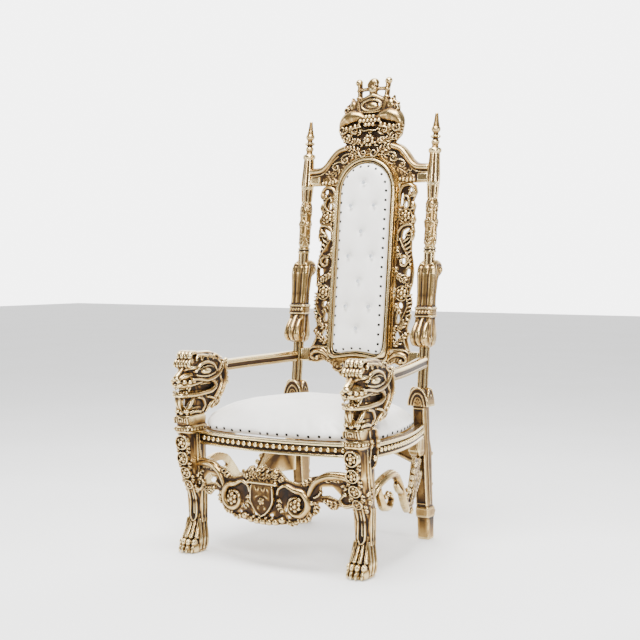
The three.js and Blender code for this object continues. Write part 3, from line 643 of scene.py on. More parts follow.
# %% Fretwork strips
def fretwork_forms():
    edge = FRAME_OUTER + 2
    outline = [(edge, 724), (222, 724), (207, 772), (222, 790), (204, 812), (220, 862), (209, 876),
               (222, 910), (207, 948), (218, 982), (222, 1030), (207, 1108), (205, 1150), (218, 1188),
               (207, 1202), (219, 1232), (209, 1258), (216, 1288), (204, 1304), (220, 1340),
               (211, 1368), (182, 1376), (edge, 1376), (edge, 975), (149, 950), (edge, 926)]
    holes = [
        arc(193, 1350, 8, 0, 345, 12, 10), arc(153, 1314, 6, 0, 345, 12, 32),
        arc(172, 1291, 6, 0, 345, 12, 14),
        [(161, 1158), (165, 1188), (196, 1202), (182, 1178), (172, 1156)],
        arc(174, 1072, 8, 0, 345, 12, 15), [(196, 1056), (208, 1050), (206, 1010), (188, 1020)],
        arc(170, 898, 10, 0, 345, 12, 12), arc(164, 848, 7, 0, 345, 12, 19),
        [(155, 786), (163, 804), (180, 770), (158, 758)],
    ]
    forms = board(outline, -12, 1, holes)
    # the scroll under the crest
    forms += scroll([(146, 1300), (146, 1336), (160, 1362), (190, 1368), (208, 1350), (204, 1330),
                     (190, 1332)], [5, 8, 9, 9, 9, 8, 5], 7, rise=14)
    forms += scroll([(172, 1268), (190, 1290), (186, 1318), (168, 1326), (164, 1314)], [5, 7, 8, 6, 4], 5,
                    rise=14)
    for z, x in ((1338, 214), (1288, 211), (1234, 213), (1187, 212)):
        forms += pebble(x - 6, z, 2, 11, 17, 9)
        forms += band([(x - 20, z - 16), (x - 6, z - 14), (x - 1, z), (x - 8, z + 14)], [4, 5, 6, 3], 13)
    # the upper flower, and the leaves round it
    forms += flower(178, 1247, 24, 6, 6, 8) + band(arc(178, 1247, 27, 0, 375, 24), [4], 10)
    forms += leaf([(150, 1276), (150, 1250), (148, 1222)], 11, 4, 12)
    forms += leaf([(152, 1218), (172, 1216), (200, 1222)], 11, 4, 13)
    # the crescent over the great leaf
    forms += band([(148, 1150), (150, 1186), (172, 1210), (204, 1212), (214, 1190)], [6, 7, 8, 8, 5], 13)
    forms += scroll([(206, 1150), (212, 1172), (204, 1188), (188, 1182), (184, 1172)], [6, 7, 7, 6, 4],
                    6, rise=14)
    # the great leaf: a long ridge with a notched outer edge
    forms += band([(156, 1160), (176, 1126), (198, 1090), (212, 1040), (206, 990)],
                  [8, 17, 14, 9, 4], 17, section=RIDGE)
    for k in range(7):
        x, z = 186 + 3.4 * k, 1156 - 17 * k
        forms += band([(x - 12, z - 12), (x + 4, z), (x + 14 - k, z + 8)], [4, 6, 3], 14)
    forms += leaf([(148, 1130), (150, 1104), (152, 1076)], 10, 4, 12)
    # the volute and the leaf under it
    forms += scroll([(150, 1094), (164, 1098), *coil(176, 1068, 24, 120, -330, 0.4)],
                    [5, 8, 9, 8, 5], 8, rise=15)
    forms += leaf([(148, 1018), (172, 1006), (200, 990)], 17, 4, 15)
    forms += leaf([(146, 1050), (148, 1030), (150, 1006)], 10, 3, 12)
    # the lower flower and the leaf beside it
    forms += flower(178, 946, 25, 6, 6, 8) + band(arc(178, 946, 28, 0, 375, 24), [4], 10)
    forms += leaf([(190, 972), (206, 978), (220, 974)], 12, 3, 12)
    forms += leaf([(150, 966), (148, 944), (150, 922)], 9, 3, 11)
    # the feathered leaf with its notched edge
    forms += band([(196, 938), (208, 904), (196, 868), (180, 846)], [6, 13, 13, 5], 16, section=RIDGE)
    for k in range(6):
        z = 938 - 15 * k
        forms += band([(200, z - 4), (212, z), (223 - abs(k - 2), z + 6)], [4, 5.5, 3], 12)
    forms += leaf([(150, 908), (164, 880), (184, 862)], 13, 4, 13)
    # the forked leaves down to the rail
    forms += leaf([(148, 812), (178, 812), (216, 858)], 15, 5, 15)
    forms += leaf([(178, 806), (190, 830), (184, 856)], 10, 3, 13)
    forms += leaf([(154, 742), (180, 762), (214, 800)], 15, 5, 14)
    forms += leaf([(150, 802), (152, 772), (150, 744)], 9, 3, 11)
    forms += band([(214, 730), (204, 752), (196, 776)], [8, 7, 5], 13)
    forms += band([(146, 728), (180, 730), (222, 727)], [5], 13)
    return forms


strip = fretwork_forms()
for side, forms in (("right", strip), ("left", mirrored(strip))):
    carve(f"fretwork_{side}_carving", forms, on_back, f"fretwork_{side}", voxel=1.9, rub=2, most=56000)

# %% [markdown]
# ## The lower back rail
# This rail carries the foot of the frame. Its ends are plain blocks at the posts. Between them a
# broad rolled scroll falls on each side to a leafy middle.

# %% Lower rail
def lower_rail_forms():
    half = [(0, 698), (90, 684), (118, 689), (140, 706), (157, 716), (172, 728), (204, 728), (226, 724),
            (268, 722), (268, 670), (222, 668), (192, 664), (150, 678), (120, 655), (90, 630), (64, 617),
            (0, 610)]
    hole = arc(64, 658, 13, 0, 345, 12, 9)
    forms = board(both_halves(half), -14, 8, [hole, [(-x, z) for x, z in hole]])
    side = board([(224, 670), (266, 670), (266, 722), (224, 722)], -12, 15, soft=3)
    side += scroll([(132, 684), (150, 700), (176, 712), (206, 706), (216, 690), (204, 680), (190, 684)],
                   [6, 9, 14, 14, 12, 9, 6], 9, rise=22)
    side += band([(140, 708), (166, 724), (206, 726), (226, 716)], [5, 6, 6, 5], 17)
    side += leaf([(186, 694), (160, 692), (120, 664)], 15, 5, 17)
    side += leaf([(134, 676), (108, 668), (84, 646)], 14, 4, 15)
    side += scroll([(118, 648), (92, 636), (72, 642), (60, 656), (66, 668)], [4, 7, 7, 6, 4], 5, rise=14)
    side += leaf([(84, 624), (56, 622), (22, 616)], 10, 4, 13)
    side += leaf([(18, 680), (46, 680), (84, 678)], 9, 4, 14)
    middle = leaf([(0, 612), (0, 640), (0, 690)], 24, 5, 17) + pebble(0, 676, 8, 11, depth=9)
    return forms + both_sides(side) + middle


carve("lower_back_rail_carving", lower_rail_forms(), on_back, "lower_back_rail", most=32000)

# %% [markdown]
# ## The back frame
# A picture-frame moulding runs round the back pad: a half-round top and a foot with a raised middle.
# Such a moulding could be swept along a curve, but its corners then pinch. Here the moulding's section
# is carried round the opening ring by ring, square to the line at each place.

# %% Frame moulding
def arch_outline(grow, steps=44):
    """The opening, grown outward: from the foot's left corner over the arch and back along the foot."""
    half = FRAME_INNER + grow
    rise = [(half * math.cos(a), ARCH_Z + half * math.sin(a))
            for a in np.linspace(0, math.pi, steps)]
    foot = flowing([(-half, FRAME_FOOT + 60), (-half, FRAME_FOOT + 22 - grow * 0.6),
                    (-0.93 * half, FRAME_FOOT + 4 - grow), (-0.78 * half, FRAME_FOOT - grow),
                    (-0.4 * half, FRAME_FOOT + 7 - grow), (0, FRAME_FOOT + 12 - grow),
                    (0.4 * half, FRAME_FOOT + 7 - grow), (0.78 * half, FRAME_FOOT - grow),
                    (0.93 * half, FRAME_FOOT + 4 - grow), (half, FRAME_FOOT + 22 - grow * 0.6),
                    (half, FRAME_FOOT + 60)], 9.0)[0]
    left = [(-half, z) for z in np.linspace(ARCH_Z, FRAME_FOOT + 60, 40)[1:-1]]
    right = [(half, z) for z in np.linspace(FRAME_FOOT + 60, ARCH_Z, 40)[1:-1]]
    return np.array(rise + left + [tuple(p) for p in foot] + right)


def ring_sweep(name, inside, outside, section, place):
    """Carries a section, [across 0 to 1, rise], round a closed line and returns one object."""
    n, m = len(inside), len(section)
    verts, faces = [], []
    for a, b in zip(inside, outside):
        verts += [(*(a + (b - a) * s), rise) for s, rise in section]
    for i in range(n):
        for j in range(m):
            k = (i + 1) % n
            faces.append((i * m + j, i * m + (j + 1) % m, k * m + (j + 1) % m, k * m + j))
    thing = mesh_of(name, [closed(np.array(verts), faces)])
    put(thing, place(corners(thing)) * MM)
    return thing


FRAME_PROFILE = [(0.0, -14), (0.0, 17), (0.03, 22), (0.09, 25), (0.16, 25), (0.21, 21), (0.27, 20.5),
                 (0.33, 25), (0.43, 29), (0.54, 30), (0.65, 28.5), (0.73, 24), (0.77, 19), (0.82, 18),
                 (0.88, 21), (0.94, 21.5), (0.98, 19), (1.0, 14), (1.0, -14), (0.75, -14), (0.5, -14),
                 (0.25, -14)]
frame_moulding = ring_sweep("back_frame_moulding", arch_outline(0), arch_outline(26), FRAME_PROFILE,
                            on_back)
gild(frame_moulding, "back_frame", smooth_angle=60)

back_panel = mesh_of("back_panel", board([tuple(p) for p in arch_outline(-0.4)], -13, -4.3, soft=2))
apply_modifier(back_panel, "TRIANGULATE")
put(back_panel, on_back(corners(back_panel)) * MM)
gild(back_panel, "back_board")

# %% [markdown]
# ## Turned posts
# A post is turned on a lathe and then reeded with a gouge, except where leaves are carved round its
# swelling. The profile is a list of heights and radii. Spinning it with the spin operator would give
# round rings only, so the rings are lofted with their reeds already in them.

# %% Posts
def turning(levels, reeds=0, depth=0.0, around=56, step=4.0, axis=None):
    """A turned length: levels are (height, radius), reeds go round it between its ends."""
    z = np.array([p[0] for p in levels], float)
    r = np.array([p[1] for p in levels], float)
    heights = sorted({round(h, 2) for a, b in zip(z, z[1:])
                      for h in np.linspace(a, b, max(2, int((b - a) / step) + 1))})
    angle = np.linspace(0, 2 * math.pi, around, endpoint=False)
    rings = []
    for h in heights:
        lobe = 1 + depth * (np.abs(np.cos(angle * reeds / 2)) - 0.7) if reeds else 1.0
        radius = np.interp(h, z, r) * lobe * np.ones(around)
        x0, y0 = axis(h) if axis else (POST_X, 0.0)
        rings.append(np.stack([x0 + radius * np.cos(angle), y0 + radius * np.sin(angle),
                               np.full(around, h)], 1))
    return lofted(rings)


def leaned(v):
    """Points given about the leaning plane of the back: x, offset towards the rear, height."""
    return np.stack([v[:, 0], v[:, 1] + BACK_Y + LEAN * v[:, 2] + FORE, v[:, 2]], 1)


UPPER_RINGS = [(1104, 22), (1106, 25), (1109, 25.5), (1112, 25), (1113, 22), (1117, 22), (1118, 24.5),
               (1121, 25), (1124, 24.5), (1126, 21.5)]
FINIAL = [(1486, 20.5), (1489, 23.5), (1494, 26), (1500, 26), (1505, 24), (1508, 16), (1514, 12.5),
          (1520, 13), (1526, 16), (1530, 17), (1535, 15), (1539, 11), (1542, 11), (1545, 15),
          (1548, 20), (1552, 20.5), (1555, 18), (1558, 11), (1563, 10), (1568, 13), (1573, 17),
          (1579, 18.5), (1585, 17), (1590, 13.5), (1594, 13), (1600, 12), (1606, 10.5), (1625, 8.2),
          (1638, 6.8), (1642, 5)]


def post_forms():
    """The turned shafts, rings and finial of one post."""
    return [turning([(585, 20.5), (748, 20.5)], 8, 0.20),
            turning([(1056, 21), (1104, 21.5)], 8, 0.20),
            turning(UPPER_RINGS, step=1.5),
            turning([(1124, 20), (1150, 22), (1172, 24), (1290, 23), (1306, 20), (1316, 19)], 0),
            turning([(1312, 21), (1340, 22.5), (1364, 24.5)], 8, 0.16),
            turning([(1362, 23), (1366, 25.5), (1368, 25.5)], step=1.5),
            turning([(1369, 24.5), (1376, 26), (1400, 25.5), (1440, 23), (1486, 20.5)], 8, 0.16),
            turning(FINIAL, step=1.5, around=40)]


def wrapped(forms, radius, turn):
    """Bench forms (arc length, height, rise) wrapped round the post."""
    out = []
    for v, faces in forms:
        a = v[:, 0] / radius + turn
        r = radius + v[:, 2]
        out.append((np.stack([POST_X + r * np.sin(a), -r * np.cos(a), v[:, 1]], 1), faces))
    return out


def post_leaves():
    """Leaves and small flowers that wind round the swelling of the post."""
    forms = [turning([(1128, 20.5), (1150, 22), (1172, 23.5), (1290, 22.5), (1306, 20), (1314, 19.5)])]
    for k in range(4):
        turn = math.pi / 2 * k
        forms += wrapped(leaf([(-2, 1134), (4, 1160), (-3, 1192)], 15, 4, 5, floor=-1), 23, turn)
        forms += wrapped(leaf([(16, 1200), (2, 1222), (-12, 1240)], 12, 4, 5.5, floor=-1), 23.5, turn)
        forms += wrapped(flower(14, 1222, 10, 5, 1, 4), 23, turn)
        forms += wrapped(leaf([(-12, 1252), (6, 1276), (14, 1306)], 13, 4, 5, floor=-1), 23, turn)
        forms += wrapped(band([(-17, 1262), (-6, 1288), (0, 1308)], [3, 5, 2], 4, -4), 22.5, turn)
    return forms


POST_PARTS = {"turning": (post_forms(), None), "leaves": (post_leaves(), 1.8)}
for side, forms_of in (("right", lambda forms: forms), ("left", mirrored)):
    for part, (forms, voxel) in POST_PARTS.items():
        thing = mesh_of(f"rear_post_{side}_{part}", forms_of(forms))
        put(thing, leaned(corners(thing)) * MM)
        if voxel:
            apply_modifier(thing, "REMESH", mode="VOXEL", voxel_size=voxel * MM)
            apply_modifier(thing, "SMOOTH", factor=0.5, iterations=2)
            thin_out(thing, 13500)
        gild(thing, f"rear_post_{side}", smooth_angle=40)

# %% [markdown]
# ## Consoles and rear legs
# Under each turned shaft stands a console: an upright scroll with three ribs, a banded waist and a
# curled foot. Below the lower shaft the post becomes a plain sawn leg with an arched block on top,
# a knee behind and a stepped foot. They are lofted level by level, because the leg changes its
# depth all the way down, and the ornament is laid on their faces.

# %% Levels and faces
def level_skin(levels, section, step=4.0, centre=None):
    """A skin through levels of (height, front y, back y, half width); section is [x, y] from -1 to 1."""
    table = np.array(levels, float)
    z = table[:, 0]
    heights = sorted({round(h, 2) for a, b in zip(z, z[1:])
                      for h in np.linspace(a, b, max(2, int((b - a) / step) + 1))})
    section = np.array(section, float)
    rings = []
    for h in heights:
        front, back, half = (np.interp(h, z, table[:, k]) for k in (1, 2, 3))
        x = centre + section[:, 0] * half
        y = (front + back) / 2 + section[:, 1] * (back - front) / 2
        rings.append(np.stack([x, y, np.full(len(x), h)], 1))
    return lofted(rings)


def soft_square(power=5.0, count=48):
    """A square with rounded corners."""
    a = np.linspace(0, 2 * math.pi, count, endpoint=False)
    r = (np.abs(np.cos(a)) ** power + np.abs(np.sin(a)) ** power) ** (-1 / power)
    return np.stack([r * np.cos(a), r * np.sin(a)], 1)


def face_front(forms, x, y):
    """Bench forms (x, height, rise) on a face that looks forward; y may depend on height."""
    depth = y if callable(y) else (lambda z: y)
    return [(np.stack([x + v[:, 0], depth(v[:, 1]) - v[:, 2], v[:, 1]], 1), faces)
            for v, faces in forms]


def face_side(forms, x, side=1):
    """Bench forms (y, height, rise) on a face that looks sideways; x may depend on height."""
    reach = x if callable(x) else (lambda z: x)
    turned = [(np.stack([reach(v[:, 1]) + side * v[:, 2], v[:, 0], v[:, 1]], 1), faces)
              for v, faces in forms]
    return [closed(v, faces) for v, faces in turned]


def ball(x, y, z, rx, ry=None, rz=None):
    """A rounded lump given straight in the throne's axes."""
    return [(BALL[0] * (rx, ry or rx, rz or rx) + (x, y, z), BALL[1])]


def rope(points, radii, around=12, flat=1.0):
    """A rounded lock or roll along points in space, thickest where radii say."""
    p = np.array(points, float)
    count = len(flowing(np.c_[np.linalg.norm(p - p[0], axis=1), p[:, 2]])[0])
    line = np.stack([np.interp(np.linspace(0, 1, count), np.linspace(0, 1, len(p)), p[:, k])
                     for k in range(3)], 1)
    for _ in range(6):
        line[1:-1] = (line[:-2] + 2 * line[1:-1] + line[2:]) / 4
    r = np.interp(np.linspace(0, 1, count), np.linspace(0, 1, len(radii)), radii)
    head = np.gradient(line, axis=0)
    head /= np.linalg.norm(head, axis=1)[:, None] + 1e-9
    side = np.cross(head, (0.31, 0.22, 0.92))
    side /= np.linalg.norm(side, axis=1)[:, None] + 1e-9
    up = np.cross(side, head)
    a = np.linspace(0, 2 * math.pi, around, endpoint=False)
    rings = [c + radius * (np.cos(a)[:, None] * s + flat * np.sin(a)[:, None] * u)
             for c, radius, s, u in zip(line, r, side, up)]
    return [lofted(rings)]


def standing(v):
    """Points given straight in the throne's axes."""
    return v + (0, FORE, 0)


def carve_pair(name, forms, node, place=standing, voxel=2.4, rub=2, most=60000):
    """Carves a piece for the +X side and its mirror image for the other side."""
    carve(f"{name}_right", forms, place, f"{node}_right", voxel=voxel, rub=rub, most=most)
    carve(f"{name}_left", mirrored(forms), place, f"{node}_left", voxel=voxel, rub=rub, most=most)


# %% Consoles
def console_forms():
    ribs = []
    for a in np.linspace(0, 2 * math.pi, 72, endpoint=False):
        c, s = math.cos(a), math.sin(a)
        r = (abs(c) ** 6 + abs(s) ** 6) ** (-1 / 6)
        x, y = r * c, r * s
        groove = 0.0
        if y < 0 and abs(x) < 0.98:
            groove = 0.17 * (math.exp(-((abs(x) - 0.36) / 0.09) ** 2))
        if abs(x) > 0.9 and abs(y) < 0.9:
            groove = 0.12 * math.exp(-((y + 0.1) / 0.14) ** 2)
            x *= 1 - groove
            groove = 0.0
        ribs.append((x, y * (1 - groove)))
    body = [(742, -16, 14, 24), (750, -38, 24, 34), (764, -52, 29, 39), (786, -55, 30, 40),
            (806, -48, 27, 39), (830, -38, 23, 36), (854, -33, 20, 34), (906, -31, 17, 34),
            (940, -29, 16, 34), (1000, -31, 20, 37), (1024, -32, 30, 39), (1046, -28, 32, 39),
            (1060, -18, 26, 34), (1069, -4, 14, 24)]
    forms = [level_skin(body, ribs, 3.0, POST_X)]
    for z, grow in ((862, 4.0), (872, 2.0), (881, 2.0), (892, 4.5)):   # the banded waist
        edge = (-31 - grow * 0.4, 18 + grow * 0.4, 34 + grow * 0.4)
        belly = (-33 - grow, 20 + grow, 35 + grow)
        band_levels = [(z - 5, *edge), (z - 2.5, *belly), (z + 2.5, *belly), (z + 5, *edge)]
        forms.append(level_skin(band_levels, soft_square(6), 2.0, POST_X))
    for k in range(5):   # beads on the waist
        forms += ball(POST_X - 26 + 13 * k, -35, 877, 6, 5, 6)
    # volutes at the rear of the top and curls at the front of the foot
    for side in (-1, 1):
        x = POST_X + side * 22
        forms += rope([(x, -20, 1052), (x, 10, 1066), (x, 36, 1056), (x, 44, 1034), (x, 30, 1018),
                       (x, 18, 1030)], [12, 14, 15, 15, 12, 8])
        forms += rope([(x, -34, 836), (x, -50, 808), (x, -56, 780), (x, -40, 758), (x, -26, 772)],
                      [8, 12, 15, 14, 9])
        forms += ball(POST_X + side * 38, 26, 1038, 7, 13, 13)
        forms += ball(POST_X + side * 38, -32, 776, 6, 13, 13)
    forms += rope([(POST_X, -32, 850), (POST_X, -44, 826), (POST_X, -58, 800), (POST_X, -58, 776),
                   (POST_X, -44, 756)], [7, 10, 13, 13, 9])
    forms += ball(POST_X, 38, 1036, 24, 14, 15)
    forms += face_front(leaf([(0, 850), (0, 832), (0, 806)], 22, 4, 6, floor=-2), POST_X,
                        lambda z: np.interp(z, [790, 830, 854], [-55, -38, -33]))
    return forms


carve_pair("rear_post_console", console_forms(), "rear_post", leaned, voxel=2.6, most=23000)

# %% Rear legs
REAR_LEVELS = [(0, 278, 323, 24), (4, 276, 325, 25), (76, 271, 325, 25), (84, 270, 325, 25),
               (88, 264, 328, 27.5), (92, 263, 328.5, 28), (120, 261, 327, 28), (125, 262, 325, 27),
               (129, 264, 317, 25), (180, 258, 312, 25), (290, 247, 307, 25), (345, 243, 303, 26),
               (392, 240, 286, 26), (522, 232, 278, 26)]


def rear_leg_forms():
    forms = [level_skin(REAR_LEVELS, soft_square(9), 4.0, REAR_X)]
    # raised borders of the sunk front panel and the outer side panel
    front = lambda z: np.interp(z, [0, 129, 290, 345, 522], [276, 264, 247, 243, 232])
    for x in (-21, 21):
        forms += face_front(band([(x, 134), (x, 330), (x, 512)], [3.2], 3.5, -3), REAR_X, front)
    for z in (140, 510):
        forms += face_front(band([(-20, z), (20, z)], [3.2], 3.5, -3), REAR_X, front)
    forms += face_side(band([(284, 140), (268, 300), (248, 500)], [3], 3, -3), REAR_X + 25.5)
    # the knee at the back with its curled ends, and the roll on the foot
    forms += rope([(REAR_X, 300, 356), (REAR_X, 310, 330), (REAR_X, 314, 286), (REAR_X, 312, 238),
                   (REAR_X, 314, 214)], [18, 21, 21, 20, 15], flat=0.7)
    for z in (212, 330):
        forms += ball(REAR_X, 312, z, 25, 10, 14)
    forms += rope([(REAR_X - 27, 322, 106), (REAR_X + 27, 322, 106)], [9, 9])
    # the bracket that meets the back rail and the side apron
    forms += [level_skin([(330, 212, 246, 18), (338, 200, 246, 22), (352, 191, 246, 24),
                          (402, 190, 246, 24)], soft_square(8), 4.0, REAR_X)]
    # the arched block: concentric arches and a fan, to the front and to both sides
    arch = lambda r, h: arc(0, 520, r, 0, 180, 20, h)
    forms += face_front(board(arch(45, 74), -54, 5, soft=1.5), POST_X - 3, 226)
    forms += face_front(band(arch(41, 69.5), [3.6], 9, 2), POST_X - 3, 226)
    forms += face_front(band(arch(28, 50), [3.4], 9, 2), POST_X - 3, 226)
    forms += face_front(band(arch(17, 33), [2.6], 8, 2), POST_X - 3, 226)
    for k in range(5):
        a = math.radians(20 + 35 * k)
        forms += face_front(band([(0, 522), (13 * math.cos(a), 522 + 24 * math.sin(a))], [1.2, 3], 8, 2),
                            POST_X - 3, 226)
    for side in (-1, 1):
        x = POST_X - 3 + 36 * side
        forms += face_side(board([(y + 252, z) for y, z in arch(30, 72)], -30, 2, soft=1.5), x, side)
        forms += face_side(band([(y + 252, z) for y, z in arch(26, 67)], [3.4], 6, -1), x, side)
        forms += face_side(band([(y + 252, z) for y, z in arch(15, 42)], [3], 6, -1), x, side)
    return forms


carve_pair("rear_post_leg", rear_leg_forms(), "rear_post", voxel=2.6, most=23000)

# %% [markdown]
# ## Arms and seat rails
# The arms are moulded rails that run from the lions' necks to the posts. The seat rails carry a row of
# beads in a channel. The moulding is carried along its line, and each bead is a turned button set in
# the channel.

# %% Arms
def along(line, section, count=60, rise=None):
    """Carries a section, [outward, up], along a plan line of t from 0 to 1."""
    t = np.linspace(0, 1, count)
    p = line(t)
    head = np.gradient(p, axis=0)
    head /= np.linalg.norm(head, axis=1)[:, None]
    out = np.stack([head[:, 1], -head[:, 0]], 1)
    rings = []
    for k in range(count):
        z = rise(t[k]) if rise else 0.0
        rings.append([(*(p[k] + out[k] * a), b + z) for a, b in section])
    return lofted(rings), p, out


ARM_LINE = ((370, -180), (364, -30), (320, 110), (288, 268))
ARM_SECTION = [(-15, -20), (-11, -22), (11, -22), (15, -20), (15.5, -12), (13.5, -9), (14, 2),
               (16, 6), (16, 10), (13, 17), (7, 20.5), (0, 21.5), (-7, 20.5), (-13, 17), (-16, 10),
               (-16, 6), (-14, 2), (-13.5, -9), (-15.5, -12)]


def finely(section, step=1.2):
    """A closed section with extra points along its edges."""
    s = np.array(section + section[:1], float)
    out = []
    for a, b in zip(s, s[1:]):
        n = max(1, int(np.linalg.norm(b - a) / step))
        out += [tuple(a + (b - a) * k / n) for k in range(n)]
    return out


arm_skin, _, _ = along(lambda t: bezier(ARM_LINE, t), finely(ARM_SECTION, 4.0), 70,
                       lambda t: 673 + 16 * t)
for side, forms_of in (("right", lambda f: f), ("left", mirrored)):
    thing = mesh_of(f"arm_{side}_rail", forms_of([arm_skin]))
    put(thing, standing(corners(thing)) * MM)
    gild(thing, f"arm_{side}", smooth_angle=35)

# %% Seat rails
RAIL_SECTION = [(-28, -25), (-4, -25), (-1.5, -24), (-1, -21), (-2.5, -17.5), (-6, -15), (-8.5, -12),
                (-9.5, -8), (-9.5, 8), (-8.5, 11), (-5, 12.5), (-1.5, 15), (-0.5, 19), (-2, 23),
                (-5, 25), (-28, 25)]
SEAT_MID = (RAIL_LOW + RAIL_TOP) / 2


def seat_rail(line, beads, count, start=0.0, end=1.0):
    skin, path, out = along(line, finely(RAIL_SECTION, 2.5), count)
    forms = [(skin[0] + (0, 0, SEAT_MID), skin[1])]
    t = (np.arange(beads) + 0.5) / beads
    t = start + t * (end - start)
    middle = line(t)
    nearest = [int(np.argmin(np.linalg.norm(path - m, axis=1))) for m in middle]
    for m, k in zip(middle, nearest):
        x, y = m - out[k] * 6.2
        forms += ball(x, y, SEAT_MID, 8.0, 8.0, 9.0)
    return forms


def front_line(t):
    x = (2 * t - 1) * (LEG_X - 22)
    return np.stack([x, front_bow(x)], 1)


front_rail = mesh_of("seat_rail_front_moulding", seat_rail(front_line, 24, 90, 0.04, 0.96))
put(front_rail, standing(corners(front_rail)) * MM)
gild(front_rail, "seat_rail_front", smooth_angle=35)

side_forms = seat_rail(lambda t: bezier(SIDE_LINE, t), 20, 70, 0.03, 0.97)
for side, forms_of in (("right", lambda f: f), ("left", mirrored)):
    thing = mesh_of(f"seat_rail_{side}_moulding", forms_of(side_forms))
    put(thing, standing(corners(thing)) * MM)
    gild(thing, f"seat_rail_{side}", smooth_angle=35)

back_rail = mesh_of("seat_rail_back_board", [level_skin(
    [(RAIL_LOW, 246, 268, 251), (RAIL_LOW + 3, 244, 270, 252), (RAIL_TOP - 3, 244, 270, 252),
     (RAIL_TOP, 246, 268, 251)], soft_square(12, 120), 5.0, 0.0)])
put(back_rail, standing(corners(back_rail)) * MM)
gild(back_rail, "seat_rail_back", smooth_angle=35)

# %% [markdown]
# ## Aprons
# The front apron hangs between the lion legs: a shield under a bar and a leafy crest, large scrolls
# with flowers, and long open scrolls that reach the legs. The side aprons are freer: an arching
# scroll and a mass of leaves. They are carved flat and then bent to their rails.

# %% Front apron
def front_apron_forms():
    outline = both_halves([(0, 360), (18, 344), (58, 354), (98, 316), (140, 308), (188, 334),
                           (250, 348), (330, 350), (330, 240), (304, 232), (272, 242), (258, 222),
                           (232, 246), (206, 246), (188, 194), (132, 174), (92, 160), (46, 154),
                           (0, 150)])
    holes = [[(222, 300), (262, 303), (296, 268), (284, 257), (246, 274), (219, 270)],
             [(84, 206), (97, 232), (92, 204)], [(82, 292), (97, 300), (95, 290)],
             [(18, 186), (40, 194), (40, 180)], [(90, 186), (107, 193), (107, 181)]]
    holes += [[(-x, z) for x, z in hole] for hole in holes]
    forms = board(outline, -5, 5, holes)
    # the shield, its bar and its plain strokes
    shield = both_halves([(0, 292), (44, 292), (46, 268), (47, 240), (36, 214), (18, 194), (0, 182)])
    forms += board(shield, -4, 19, soft=3)
    rim = [(44, 288), (46, 262), (46, 238), (35, 213), (17, 193), (0, 183)]
    forms += both_sides(band(rim, [4.5], 24))
    forms += band([(-54, 299), (54, 299)], [8.5], 26) + both_sides(pebble(56, 299, 14, 9, depth=12))
    for x, lean in ((-24, 5), (-12, -4), (2, 5), (13, -5), (25, 4)):
        forms += band([(x - lean, 288), (x + lean, 268)], [2.6, 3.4, 2.6], 23, 12)
    forms += both_sides(band([(4, 258), (20, 252), (32, 240)], [2.5, 3.5, 2], 23, 12))
    forms += flower(0, 236, 13, 5, 19, 5)
    forms += both_sides(band([(6, 222), (14, 212), (8, 202)], [2.5, 3.5, 2], 23, 12))
    # the leafy crest above the bar
    half = leaf([(6, 306), (22, 326), (20, 350)], 13, 4, 23)
    half += leaf([(16, 304), (42, 324), (62, 350)], 17, 5, 22)
    half += leaf([(30, 306), (62, 314), (92, 318)], 13, 4, 19)
    forms += leaf([(0, 308), (0, 336), (0, 364)], 15, 4, 27)
    # the great scroll and its flower
    half += scroll([(58, 262), (66, 284), (92, 296), *coil(134, 234, 50, 100, -400, 0.42)],
                   [6, 9, 13, 15, 15, 13, 9, 6], 9, rise=22)
    half += flower(134, 230, 24, 6, 15, 9)
    half += leaf([(66, 250), (66, 222), (82, 196)], 13, 4, 17)
    half += leaf([(186, 214), (164, 186), (130, 176)], 14, 5, 17)
    half += leaf([(196, 250), (204, 222), (192, 198)], 12, 4, 15)
    # berries along the lower edge
    for k in range(4):
        x = 26.0 * k
        beads = pebble(x, 163 + 0.16 * k ** 4, 7, 13.5, 12, 14)
        if k:
            half += beads
        else:
            forms += beads
    for k in range(3):
        half += pebble(13 + 26.0 * k, 176, 6, 7, depth=9)
    half += leaf([(96, 172), (118, 166), (142, 178)], 11, 4, 17)
    # the long open scroll out to the leg
    half += scroll([(338, 322), (300, 336), (250, 338), (206, 318), (184, 284), (176, 256), (190, 244)],
                   [9, 12, 14, 14, 13, 10, 6], 8, rise=22)
    half += band([(334, 344), (296, 350), (246, 350), (214, 338)], [4, 5, 5, 3], 16)
    half += leaf([(212, 316), (180, 316), (150, 300)], 15, 4, 18)
    half += leaf([(238, 322), (262, 330), (296, 322)], 11, 4, 20)
    half += scroll([(336, 246), (306, 240), (290, 262), (306, 280)], [8, 10, 8, 5], 8, rise=18)
    half += leaf([(298, 250), (262, 244), (222, 258)], 14, 5, 19)
    half += leaf([(286, 250), (268, 232), (256, 224)], 10, 3, 16)
    half += leaf([(330, 300), (306, 302), (290, 316)], 12, 3, 15)
    half += band([(196, 262), (212, 270), (222, 286)], [5, 6, 4], 14)
    return forms + both_sides(half)


carve("front_apron_carving", front_apron_forms(), on_front, "front_apron", voxel=2.2, rub=2, most=82000)

